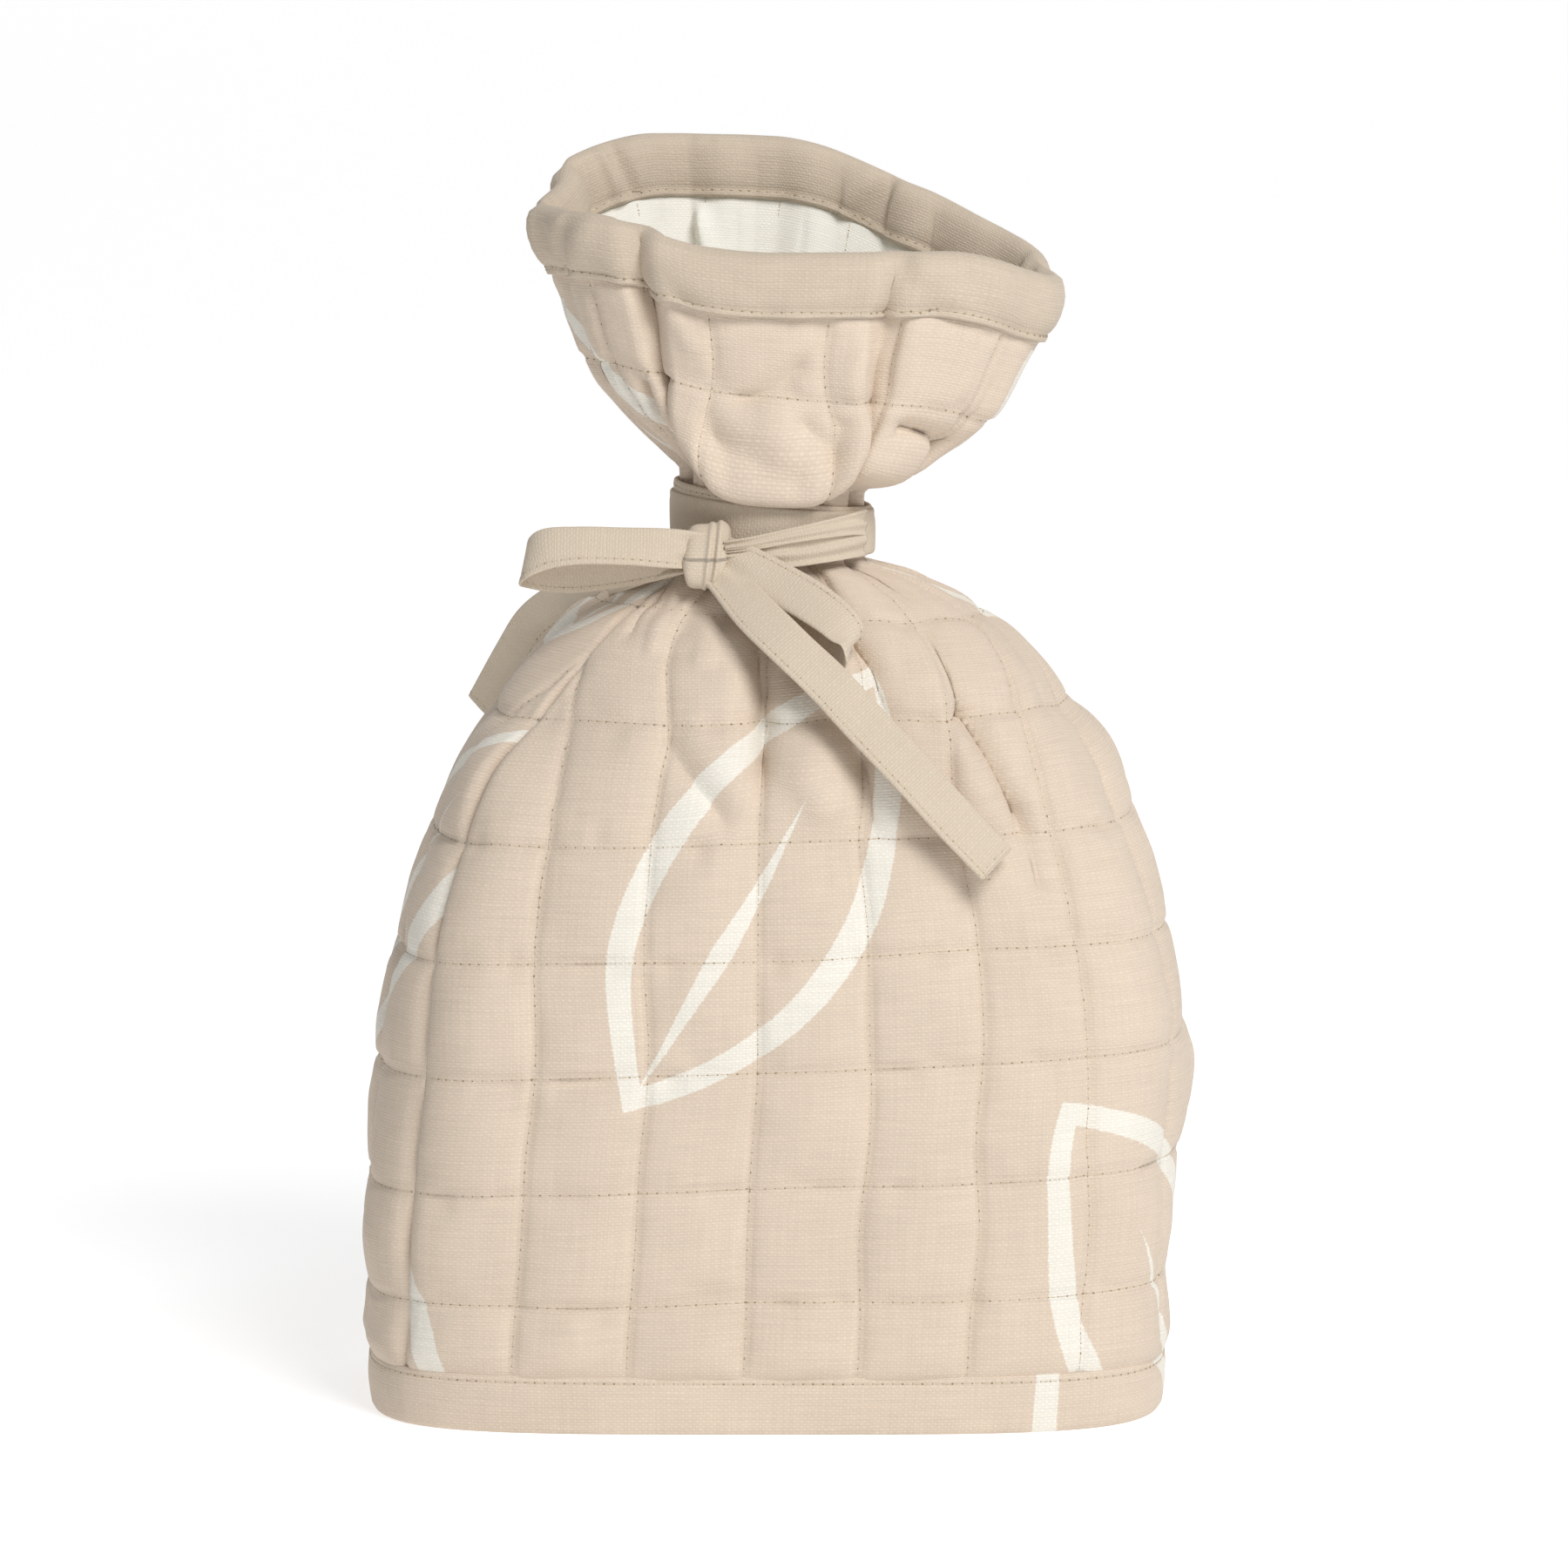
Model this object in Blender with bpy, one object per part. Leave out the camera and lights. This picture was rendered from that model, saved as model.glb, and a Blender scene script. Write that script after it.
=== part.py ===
"""Quilted tea cosy.

Two quilted panels are seamed at the sides into a sleeve.  The sleeve is bound at
its hem and at its mouth, is lined in the flared mouth, and is drawn into pleats at
the neck by a narrow tape that is tied in a bow.

The surface is worked out in two coordinates: a nominal height above the hem, and a
cloth coordinate counted in quilting squares around the sleeve.  The front panel runs
from -half to +half, and the back panel from +half to three times half.
"""

import math
from collections import namedtuple

import bmesh
import bpy
import numpy as np
from mathutils import Vector

MM = 0.001                     # every length below is in millimetres until a mesh is made

# ---- driving dimensions -------------------------------------------------------------
BASE_SQUARES = 5               # quilting squares of 30 mm in half a panel at the hem
CLEARANCE = 0.3                # gap between neighbouring pieces
MIDDLE = (1.95, -1.90, 0.0)    # middle of the footprint, from the neck's axis
COLUMN_STEPS = (0.0, 0.3, 0.7)  # columns inside each square

HEM_BAND = 15.8                # height of the hem binding
PANEL_FOOT = 1.5               # lower edge of the quilted cloth, inside the hem binding
NECK_LOW, NECK_HIGH = 227.0, 247.5   # the drawn-in neck, between its lower and upper edge
LINING_FOOT = 260.0            # lowest level of the lining that shows in the mouth
MOUTH_SEAM = 299.0             # lower edge of the mouth binding
CLOTH_TOP = 313.6              # upper edge of the quilted cloth, inside the mouth binding
RIM = 316.0                    # top of the mouth binding

BINDING = 1.2                  # thickness of the folded binding strips
LINING = 0.8                   # thickness of the lining cloth

TAPE_WIDTH = 12.0              # width of the tie
TAPE = 1.4                     # thickness of the tie, folded and stitched
TURN_SEGMENTS = 40             # flats around each turn of the tie
LOWER_TURN, UPPER_TURN = 234.5, 236.4   # heights of the tie's two turns
LOWER_TURN_TILT = 1.2          # how far the lower turn rises on the right
KNOT_PLACE = (-17.2, -29.3, 228.4)
KNOT_SIZE = (11.5, 12.4, 16.4)
KNOT_LEAN = 0.55               # how far the knot's foot stands out, for each unit of height
KNOT_ROUNDING = 0.75           # from 0, a block, to 1, an egg
KNOT_BAND = 0.18               # how far the band around the knot's middle stands out

QUILTED_COLOUR = (0.68, 0.59, 0.49)
HEM_COLOUR = (0.66, 0.58, 0.48)
MOUTH_COLOUR = (0.58, 0.50, 0.40)
LINING_COLOUR = (0.80, 0.77, 0.70)
TAPE_COLOUR = (0.60, 0.52, 0.42)
CLOTH_ROUGHNESS = 0.9
CREASE_ANGLE = math.radians(40.0)   # sharper edges than this are not smoothed

# Sections of the sleeve.  height: nominal height.  left, right, front, back: half
# axes of the middle of the cloth.  square: exponent of the superellipse.  half: half
# a panel's width in squares.  centre: cloth coordinate at the middle of the front.
# lean: rise of the section towards the right.  gather: how far the pleats are drawn
# together.  core: thickness at a stitched line.  puff: height of a square.
Ring = namedtuple("Ring", "height left right front back square half centre lean gather core puff")
RINGS = [
    Ring(0.0, 105.2, 102.0, 65.5, 62.5, 4.2, 5.00, -1.71, 0.000, 0.0, 1.8, 2.4),
    Ring(16.0, 105.8, 103.0, 66.0, 63.0, 4.2, 5.00, -1.73, 0.000, 0.0, 1.8, 2.4),
    Ring(45.0, 106.0, 103.3, 66.3, 63.5, 4.0, 5.00, -1.78, 0.020, 0.0, 1.8, 2.4),
    Ring(72.0, 105.4, 104.0, 66.3, 64.0, 3.7, 5.00, -1.82, 0.030, 0.0, 1.8, 2.4),
    Ring(96.0, 103.7, 104.5, 66.0, 64.0, 3.4, 5.00, -1.87, 0.035, 0.0, 1.8, 2.4),
    Ring(126.0, 98.2, 102.0, 65.3, 62.5, 3.2, 4.98, -1.86, 0.035, 0.1, 1.8, 2.4),
    Ring(156.0, 88.7, 93.5, 62.7, 59.5, 2.9, 4.90, -1.85, 0.030, 0.2, 1.8, 2.4),
    Ring(172.0, 81.7, 88.0, 59.2, 56.5, 2.6, 4.75, -1.90, 0.020, 0.3, 1.8, 2.2),
    Ring(186.0, 72.5, 77.5, 54.0, 52.0, 2.4, 4.45, -1.95, 0.010, 0.4, 1.8, 2.0),
    Ring(194.0, 66.5, 72.0, 50.3, 48.8, 2.3, 4.20, -1.95, 0.000, 0.5, 1.8, 1.8),
    Ring(201.0, 60.5, 66.5, 46.5, 45.0, 2.2, 4.00, -1.95, -0.010, 0.6, 1.8, 1.3),
    Ring(207.0, 54.5, 61.5, 42.5, 42.0, 2.1, 3.85, -1.97, -0.030, 0.6, 1.8, 1.1),
    Ring(213.0, 46.0, 55.0, 36.2, 38.0, 2.1, 3.75, -2.00, -0.060, 0.5, 1.7, 0.8),
    Ring(219.0, 35.0, 49.5, 29.4, 32.5, 2.0, 3.70, -2.05, -0.100, 0.3, 1.6, 0.5),
    Ring(223.0, 27.5, 42.0, 26.2, 27.8, 2.0, 3.70, -2.12, -0.120, 0.3, 1.6, 0.2),
    Ring(NECK_LOW, 24.0, 24.2, 24.0, 24.2, 2.0, 3.70, -2.18, -0.140, 0.3, 1.6, 0.0),
    Ring(NECK_HIGH, 24.0, 24.0, 24.0, 24.0, 2.0, 3.70, -2.38, -0.140, 0.3, 1.6, 0.0),
    Ring(251.0, 29.0, 27.8, 27.0, 27.5, 2.0, 3.70, -2.43, -0.140, 0.4, 1.6, 0.1),
    Ring(255.0, 34.0, 32.5, 29.2, 30.0, 2.1, 3.70, -2.46, -0.140, 0.6, 1.6, 0.4),
    Ring(261.0, 40.0, 41.5, 31.0, 33.5, 2.2, 3.70, -2.50, -0.140, 0.9, 1.6, 1.0),
    Ring(268.0, 46.3, 50.8, 31.8, 35.5, 2.2, 3.70, -2.53, -0.140, 1.0, 1.6, 1.2),
    Ring(275.0, 49.8, 58.0, 32.2, 37.2, 2.2, 3.70, -2.53, -0.140, 1.0, 1.6, 1.2),
    Ring(290.0, 54.4, 65.9, 33.2, 39.5, 2.2, 3.70, -2.53, -0.140, 1.0, 1.6, 1.2),
    Ring(305.0, 59.6, 73.2, 34.5, 41.0, 2.2, 3.70, -2.53, -0.140, 1.0, 1.6, 1.0),
    Ring(320.0, 63.2, 76.4, 36.0, 41.8, 2.2, 3.70, -2.53, -0.140, 1.0, 1.6, 1.0),
]

# Real height of the rim around the mouth.  turn: share of the way around, from the
# middle of the front towards the right.  The mouth is high at the back and low at
# the right.
RimPoint = namedtuple("RimPoint", "turn height")
RIM_HEIGHTS = [
    RimPoint(0.00, 308.0),
    RimPoint(0.13, 308.0),
    RimPoint(0.25, 300.0),
    RimPoint(0.33, 308.5),
    RimPoint(0.42, 321.5),
    RimPoint(0.53, 334.5),
    RimPoint(0.63, 335.5),
    RimPoint(0.70, 330.5),
    RimPoint(0.77, 319.0),
    RimPoint(0.86, 317.5),
    RimPoint(0.95, 309.5),
]

# Pleats, which run up through the neck.  cloth: cloth coordinate from the middle of
# the panel.  spread: half width in squares.  drift: squares that the pleat moves by,
# down to the shoulder.  tight: share of its width that closes up.  shoulder, neck,
# ruffle, mouth: its depth there.
Pleat = namedtuple("Pleat", "cloth spread drift tight shoulder neck ruffle mouth")
FRONT_PLEATS = [
    Pleat(-3.70, 0.40, 0.0, 0.55, 0.0, 6.0, 8.5, 4.0),
    Pleat(-2.00, 0.45, 0.0, 0.20, 6.0, 6.5, 0.6, 0.0),
    Pleat(-1.26, 0.42, 1.1, 0.55, 4.0, 6.0, 8.5, 4.0),
    Pleat(0.22, 0.50, 0.4, 0.45, 2.5, 6.5, 3.0, 1.0),
    Pleat(1.48, 0.55, 0.0, 0.50, 2.5, 6.5, 4.5, 2.5),
    Pleat(2.74, 0.50, 0.0, 0.45, 3.0, 6.5, 3.0, 1.5),
    Pleat(3.70, 0.50, 0.0, 0.50, 0.0, 4.5, 4.5, 2.5),
]
BACK_PLEATS = [
    Pleat(-2.44, 0.50, 0.0, 0.50, 3.0, 4.0, 4.0, 2.5),
    Pleat(-1.26, 0.55, 0.0, 0.50, 3.0, 4.5, 4.5, 2.0),
    Pleat(0.00, 0.55, 0.0, 0.45, 2.5, 5.5, 3.0, 1.0),
    Pleat(1.26, 0.55, 0.0, 0.50, 3.0, 5.5, 4.5, 3.0),
    Pleat(2.44, 0.50, 0.0, 0.45, 2.5, 5.5, 3.5, 2.0),
]
PLEAT_FOOT, SHOULDER_LEVEL, RUFFLE_LEVEL = 150.0, 216.0, 268.0

# Soft dents and bulges of the body.  cloth and height: the middle.  wide: squares.
# tall: height.  out: how far the cloth stands out there.
Bulge = namedtuple("Bulge", "cloth height wide tall out")
BULGES = [
    Bulge(3.30, 80.0, 0.9, 24.0, 6.0),
    Bulge(14.60, 48.0, 0.6, 20.0, 1.5),
    Bulge(-0.50, 150.0, 1.0, 34.0, -2.0),
    Bulge(1.60, 118.0, 0.9, 30.0, -1.8),
    Bulge(-3.60, 108.0, 0.8, 26.0, 1.2),
    Bulge(7.40, 92.0, 1.3, 40.0, -2.5),
    Bulge(10.60, 140.0, 1.2, 36.0, 2.0),
]

# Levels of the stitched rows, and the levels between them that the solids need.
STITCHED_ROWS = (15.8, 34.6, 65.0, 96.0, 126.0, 156.0, 186.0, 212.0, 236.0, 274.0, 299.0)
PANEL_ROWS = (
    PANEL_FOOT, HEM_BAND, 25.0, 34.6, 44.5, 55.0, 65.0, 75.0, 86.0, 96.0, 106.0, 116.0,
    126.0, 136.0, 146.0, 156.0, 166.0, 176.0, 186.0, 194.0, 203.0, 212.0, 218.0, 223.0,
    NECK_LOW, 237.0, NECK_HIGH, 251.0, 255.0, LINING_FOOT, 267.0, 274.0, 283.0, 291.0,
    MOUTH_SEAM, 306.5, CLOTH_TOP,
)


# ---- interpolation --------------------------------------------------------------------
def smooth_value(knots, values, at):
    """Monotone cubic through (knots, values), so a steep step never overshoots."""
    index = int(np.clip(np.searchsorted(knots, at) - 1, 0, len(knots) - 2))
    slopes = np.diff(values) / np.diff(knots)

    def tangent(k):
        if k == 0:
            return slopes[0]
        if k == len(knots) - 1:
            return slopes[-1]
        before, after = slopes[k - 1], slopes[k]
        if before * after <= 0.0:
            return 0.0
        return 2.0 * before * after / (before + after)

    span = knots[index + 1] - knots[index]
    t = (at - knots[index]) / span
    start, end = values[index], values[index + 1]
    return (
        start * (2 * t**3 - 3 * t**2 + 1)
        + end * (3 * t**2 - 2 * t**3)
        + span * (tangent(index) * (t**3 - 2 * t**2 + t) + tangent(index + 1) * (t**3 - t**2))
    )


def ease(value):
    """Smooth step from 0 to 1."""
    value = min(max(value, 0.0), 1.0)
    return value * value * (3.0 - 2.0 * value)


HEIGHTS = np.array([ring.height for ring in RINGS])
COLUMNS = np.array(RINGS).T


def ring_at(level):
    """The section at a nominal height."""
    return Ring(*(smooth_value(HEIGHTS, column, level) for column in COLUMNS))


def rim_height(turn):
    """Real height of the rim at each share of the way around."""
    knots = np.array([point.turn for point in RIM_HEIGHTS])
    values = np.array([point.height for point in RIM_HEIGHTS])
    knots = np.concatenate([knots[-2:] - 1.0, knots, knots[:2] + 1.0])
    values = np.concatenate([values[-2:], values, values[:2]])
    return np.array([smooth_value(knots, values, share % 1.0) for share in turn])


# ---- the surface ------------------------------------------------------------------------
def plan_curve(ring, samples=720):
    """The unpleated section seen from above, as points, outward normals and arc length."""
    angle = np.linspace(0.0, 2.0 * math.pi, samples + 1)
    power = 2.0 / ring.square
    across = np.sign(np.sin(angle)) * np.abs(np.sin(angle)) ** power
    along = -np.sign(np.cos(angle)) * np.abs(np.cos(angle)) ** power
    x = across * np.where(across > 0.0, ring.right, ring.left)
    y = along * np.where(along < 0.0, ring.front, ring.back)
    points = np.stack([x, y], axis=1)
    length = np.concatenate([[0.0], np.cumsum(np.linalg.norm(np.diff(points, axis=0), axis=1))])
    ahead = np.roll(points[:-1], -1, axis=0) - np.roll(points[:-1], 1, axis=0)
    ahead = np.vstack([ahead, ahead[:1]])
    normals = np.stack([ahead[:, 1], -ahead[:, 0]], axis=1)
    normals /= np.linalg.norm(normals, axis=1)[:, None]
    return points, normals, length


def pleat_depth(pleat, level):
    """Depth of a pleat at a level."""
    if level <= SHOULDER_LEVEL:
        return pleat.shoulder * ease((level - PLEAT_FOOT) / (SHOULDER_LEVEL - PLEAT_FOOT))
    stations = (SHOULDER_LEVEL, NECK_LOW, NECK_HIGH, RUFFLE_LEVEL, RIM)
    depths = (pleat.shoulder, pleat.neck, pleat.neck, pleat.ruffle, pleat.mouth)
    return smooth_value(np.array(stations), np.array(depths), min(level, RIM))


def surface_row(cloth, level):
    """Points on the middle of the cloth at one nominal height, for an array of cloth
    coordinates."""
    ring = ring_at(level)
    points, normals, length = plan_curve(ring)
    around = 4.0 * ring.half
    below = max(NECK_LOW - level, 0.0) / (NECK_LOW - PLEAT_FOOT)
    opened = ease((level - RUFFLE_LEVEL) / (MOUTH_SEAM - RUFFLE_LEVEL))

    travelled = cloth - ring.centre
    total = around
    inward = np.zeros_like(cloth)
    for offset, pleats in ((0.0, FRONT_PLEATS), (2.0 * ring.half, BACK_PLEATS)):
        for pleat in pleats:
            on_seam = abs(pleat.cloth) == RINGS[-1].half
            edge = ring.half if on_seam else abs(pleat.cloth)
            centre = math.copysign(edge, pleat.cloth) + offset + pleat.drift * below
            closed = pleat.tight * ring.gather * pleat.spread
            total -= 2.0 * closed
            for lap in (-around, 0.0, around):
                apart = (cloth - centre - lap) / pleat.spread
                middle = (ring.centre - centre - lap) / pleat.spread
                step = np.clip(apart, -1.0, 1.0) - np.clip(middle, -1.0, 1.0)
                travelled = travelled - closed * step
                sharp = np.clip(1.0 - np.sqrt(apart**2 + 0.01) / 1.005, 0.0, 1.0) ** 2
                soft = np.cos(0.5 * math.pi * np.clip(apart, -1.0, 1.0)) ** 2
                crease = sharp + (soft - sharp) * opened
                inward += pleat_depth(pleat, level) * crease
    for bulge in BULGES:
        across = (cloth - bulge.cloth) / bulge.wide
        up = (level - bulge.height) / bulge.tall
        inward -= bulge.out * np.exp(-(across**2) - up**2)

    turn = travelled / total
    wrapped = np.mod(turn, 1.0) * length[-1]
    x = np.interp(wrapped, length, points[:, 0])
    y = np.interp(wrapped, length, points[:, 1])
    out_x = np.interp(wrapped, length, normals[:, 0])
    out_y = np.interp(wrapped, length, normals[:, 1])
    x = x - out_x * inward
    y = y - out_y * inward

    if level <= NECK_HIGH:
        z = level + ring.lean * x
    else:
        rise = min((level - NECK_HIGH) / (MOUTH_SEAM - NECK_HIGH), 1.0)
        seam = rim_height(turn) - (RIM - MOUTH_SEAM)
        neck = NECK_HIGH + ring.lean * x * (1.0 - rise)
        z = neck + rise * (seam - NECK_HIGH) + max(level - MOUTH_SEAM, 0.0)
    return np.stack([x, y, z], axis=1)


def offset_row(cloth, level, distance):
    """Points at a distance outside the middle of the cloth.  The distance is a number
    or one number for each cloth coordinate."""
    small_cloth, small_level = 0.02, 0.4
    middle = surface_row(cloth, level)
    around = surface_row(cloth + small_cloth, level) - surface_row(cloth - small_cloth, level)
    up = surface_row(cloth, level + small_level) - surface_row(cloth, level - small_level)
    normal = np.cross(around, up)
    normal /= np.linalg.norm(normal, axis=1)[:, None]
    return middle + normal * np.reshape(distance, (-1, 1))


def panel_columns(half):
    """Cloth coordinates of one panel's columns.  At the hem they follow the stitched
    lines, and they draw together as the panel narrows."""
    squares = range(-BASE_SQUARES, BASE_SQUARES)
    base = [square + step for square in squares for step in COLUMN_STEPS]
    return np.array(base + [float(BASE_SQUARES)]) * half / BASE_SQUARES


def sleeve_columns(half):
    """Cloth coordinates of the columns all the way around."""
    panel = panel_columns(half)
    return np.concatenate([panel[:-1], panel[:-1] + 2.0 * half])


def quilt_height(panel_cloth, level, ring):
    """How far the wadding lifts the face at each column of a panel."""
    rows = np.array(STITCHED_ROWS)
    if level <= rows[0] or level >= rows[-1]:
        return np.zeros_like(panel_cloth)
    below = int(np.searchsorted(rows, level) - 1)
    share = (level - rows[below]) / (rows[below + 1] - rows[below])
    upright = abs(math.sin(math.pi * share)) ** 0.5
    across = np.abs(np.sin(math.pi * panel_cloth)) ** 0.5
    beside_seam = np.clip((ring.half - np.abs(panel_cloth)) / 0.25, 0.0, 1.0)
    return ring.puff * upright * across * beside_seam


# ---- solids -------------------------------------------------------------------------------
def add_object(name, vertices, faces, colour):
    """A named object with its own material, from vertices in millimetres."""
    mesh = bpy.data.meshes.new(name)
    placed = (np.array(vertices) - MIDDLE) * MM
    mesh.from_pydata(placed.tolist(), [], faces)
    builder = bmesh.new()
    builder.from_mesh(mesh)
    bmesh.ops.triangulate(builder, faces=builder.faces[:])
    bmesh.ops.recalc_face_normals(builder, faces=builder.faces[:])
    builder.to_mesh(mesh)
    builder.free()
    mesh.shade_smooth()
    mesh.set_sharp_from_angle(angle=CREASE_ANGLE)
    thing = bpy.data.objects.new(name, mesh)
    bpy.context.scene.collection.objects.link(thing)
    thing.data.materials.append(cloth_material(name, colour))
    return thing


def cloth_material(name, colour):
    """A plain woven cloth."""
    material = bpy.data.materials.new(name)
    material.use_nodes = True
    shader = material.node_tree.nodes["Principled BSDF"]
    shader.inputs["Base Color"].default_value = (*colour, 1.0)
    shader.inputs["Roughness"].default_value = CLOTH_ROUGHNESS
    shader.inputs["Metallic"].default_value = 0.0
    return material


def grid_faces(rows, columns, wrap_rows=False, wrap_columns=False):
    """Quads over a grid whose vertices run row by row."""
    faces = []
    for row in range(rows if wrap_rows else rows - 1):
        for column in range(columns if wrap_columns else columns - 1):
            after_row = (row + 1) % rows
            after_column = (column + 1) % columns
            faces.append((
                row * columns + column,
                row * columns + after_column,
                after_row * columns + after_column,
                after_row * columns + column,
            ))
    return faces


def quilted_panel(name, offset_halves, colour):
    """One quilted panel: its face, its lining side and the four edges between them.
    Both panels stop half a clearance short of their seams."""
    loops = []
    for level in PANEL_ROWS:
        ring = ring_at(level)
        columns = panel_columns(ring.half)
        cloth = columns + offset_halves * ring.half
        face = offset_row(cloth, level, 0.5 * ring.core + quilt_height(columns, level, ring))
        back = offset_row(cloth, level, -0.5 * ring.core * np.ones_like(cloth))
        along = surface_row(cloth + 0.02, level) - surface_row(cloth - 0.02, level)
        along /= np.linalg.norm(along, axis=1)[:, None]
        for side in (face, back):
            side[0] += along[0] * 0.5 * CLEARANCE
            side[-1] -= along[-1] * 0.5 * CLEARANCE
        loops.append(np.vstack([face, back[::-1]]))
    count = len(loops[0])
    faces = grid_faces(len(loops), count, wrap_columns=True)
    half_count = count // 2
    for first in (0, (len(loops) - 1) * count):
        for column in range(half_count - 1):
            faces.append((
                first + column,
                first + column + 1,
                first + count - 2 - column,
                first + count - 1 - column,
            ))
    return add_object(name, np.vstack(loops), faces, colour)


def swept_band(name, profile, colour, upright=False):
    """A closed band around the sleeve, from a profile of (distance, level) points.  An
    upright band keeps each of its edges at one height."""
    loops = []
    for distance, level in profile:
        cloth = sleeve_columns(ring_at(level).half)
        loop = offset_row(cloth, level, distance * np.ones_like(cloth))
        if upright:
            loop[:, 2] = level
        loops.append(loop)
    faces = grid_faces(len(loops), len(loops[0]), wrap_rows=True, wrap_columns=True)
    return add_object(name, np.vstack(loops), faces, colour)


def hem_binding():
    """Folded strip over the lower edge.  Its flat underside rests on the table."""
    face = 0.5 * RINGS[0].core + CLEARANCE
    outer = face + BINDING
    flat, chamfer, top = outer - 0.5, 0.5, HEM_BAND - CLEARANCE
    profile = [
        (outer, top), (face, top), (face, PANEL_FOOT - CLEARANCE),
        (-face, PANEL_FOOT - CLEARANCE), (-face, top), (-outer, top),
        (-outer, chamfer), (-flat, 0.0), (flat, 0.0), (outer, chamfer),
    ]
    return swept_band("hem_binding", profile, HEM_COLOUR, upright=True)


def mouth_binding():
    """Plump folded strip over the rim.  It holds the quilted cloth and the lining."""
    core = RINGS[-1].core
    outside = 0.5 * core + CLEARANCE
    inside = -(0.5 * core + 2.0 * CLEARANCE + LINING)
    roof = CLOTH_TOP + CLEARANCE
    profile = [
        (outside, MOUTH_SEAM), (outside + BINDING, MOUTH_SEAM), (outside + 2.2, 303.5),
        (outside + 2.4, 309.0), (outside + 1.5, roof), (0.0, RIM), (-1.2, RIM),
        (inside - 1.5, roof), (inside - 2.4, 309.0), (inside - 2.2, 303.5),
        (inside - BINDING, MOUTH_SEAM), (inside, MOUTH_SEAM), (inside, 306.5),
        (inside, roof), (outside, roof), (outside, 306.5),
    ]
    return swept_band("mouth_binding", profile, MOUTH_COLOUR)


def mouth_lining():
    """Plain lining cloth inside the flared mouth, up into the binding."""
    near = -(0.5 * RINGS[-1].core + CLEARANCE)
    levels = [level for level in PANEL_ROWS if level >= LINING_FOOT]
    profile = [(near, level) for level in levels]
    profile += [(near - LINING, level) for level in reversed(levels)]
    return swept_band("lining", profile, LINING_COLOUR)


# ---- the tie --------------------------------------------------------------------------------
NECK = RINGS[15]
NECK_RADIUS = NECK.left + 0.5 * NECK.core + CLEARANCE   # inside of the tie's first turn
NECK_LEAN = NECK.lean
TURN_BITE = 0.2                # depth by which the lower turn sinks into the upper one

# Routes of the free parts of the tie.  x, y, z: the middle of the tape.  out_x, out_y,
# out_z: the direction that its face looks in.
TapePoint = namedtuple("TapePoint", "x y z out_x out_y out_z")
LEFT_LOOP = [
    TapePoint(-17.5, -31.5, 229.2, 0.0, -1.0, 0.1),
    TapePoint(-26.0, -33.8, 229.5, -0.1, -1.0, 0.1),
    TapePoint(-38.0, -35.2, 229.6, 0.0, -1.0, 0.1),
    TapePoint(-51.0, -35.0, 229.6, 0.0, -1.0, 0.1),
    TapePoint(-60.0, -33.6, 228.9, -0.3, -1.0, 0.2),
    TapePoint(-64.5, -29.4, 226.4, -1.0, -0.1, 0.3),
    TapePoint(-61.5, -25.6, 224.2, -0.2, 1.0, 0.3),
    TapePoint(-52.5, -25.2, 223.4, 0.1, 1.0, 0.2),
    TapePoint(-40.0, -26.8, 225.0, 0.1, 1.0, 0.2),
    TapePoint(-28.0, -28.6, 227.2, 0.1, 1.0, 0.1),
    TapePoint(-18.5, -29.0, 229.0, 0.0, 1.0, 0.0),
]
RIGHT_LOOP = [
    TapePoint(-16.5, -30.5, 230.0, 0.1, -1.0, 0.2),
    TapePoint(-8.0, -35.0, 226.6, 0.1, -1.0, 0.3),
    TapePoint(2.0, -41.2, 221.8, 0.1, -1.0, 0.5),
    TapePoint(10.5, -46.8, 217.6, 0.1, -1.0, 0.5),
    TapePoint(17.5, -51.2, 212.6, 0.5, -1.0, 0.4),
    TapePoint(20.6, -52.6, 207.8, 0.9, -0.4, -0.4),
    TapePoint(17.2, -50.6, 205.2, 0.2, 1.0, -0.6),
    TapePoint(9.5, -46.8, 209.0, -0.2, 1.0, -0.6),
    TapePoint(1.0, -42.2, 214.6, -0.2, 1.0, -0.5),
    TapePoint(-7.0, -36.2, 221.2, -0.1, 1.0, -0.4),
    TapePoint(-15.5, -29.5, 227.4, 0.0, 1.0, -0.2),
]
RIGHT_TAIL = [
    TapePoint(-16.5, -31.0, 226.5, 0.1, -1.0, 0.2),
    TapePoint(-11.0, -38.5, 221.5, 0.1, -1.0, 0.4),
    TapePoint(-4.0, -48.0, 214.5, 0.0, -1.0, 0.6),
    TapePoint(4.5, -55.5, 207.0, 0.0, -1.0, 0.6),
    TapePoint(14.0, -60.0, 198.5, 0.0, -1.0, 0.5),
    TapePoint(24.0, -63.5, 188.0, 0.1, -1.0, 0.4),
    TapePoint(36.0, -66.5, 175.5, 0.2, -1.0, 0.3),
    TapePoint(47.0, -67.5, 163.5, 0.3, -1.0, 0.2),
    TapePoint(58.5, -66.0, 151.0, 0.4, -1.0, 0.2),
]
LEFT_TAIL = [
    TapePoint(-18.0, -29.5, 228.4, -0.3, -1.0, 0.3),
    TapePoint(-27.0, -27.0, 227.0, -0.4, -0.8, 0.6),
    TapePoint(-37.0, -18.0, 225.0, -0.4, -0.6, 0.9),
    TapePoint(-47.5, -3.5, 221.5, -0.5, -0.6, 0.8),
    TapePoint(-56.5, 11.0, 214.5, -0.6, -0.8, 0.5),
    TapePoint(-64.5, 22.0, 204.5, -0.6, -1.0, 0.2),
    TapePoint(-70.5, 29.5, 194.5, -0.6, -1.0, 0.1),
    TapePoint(-78.8, 38.5, 179.0, -0.6, -1.0, 0.1),
]


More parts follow.
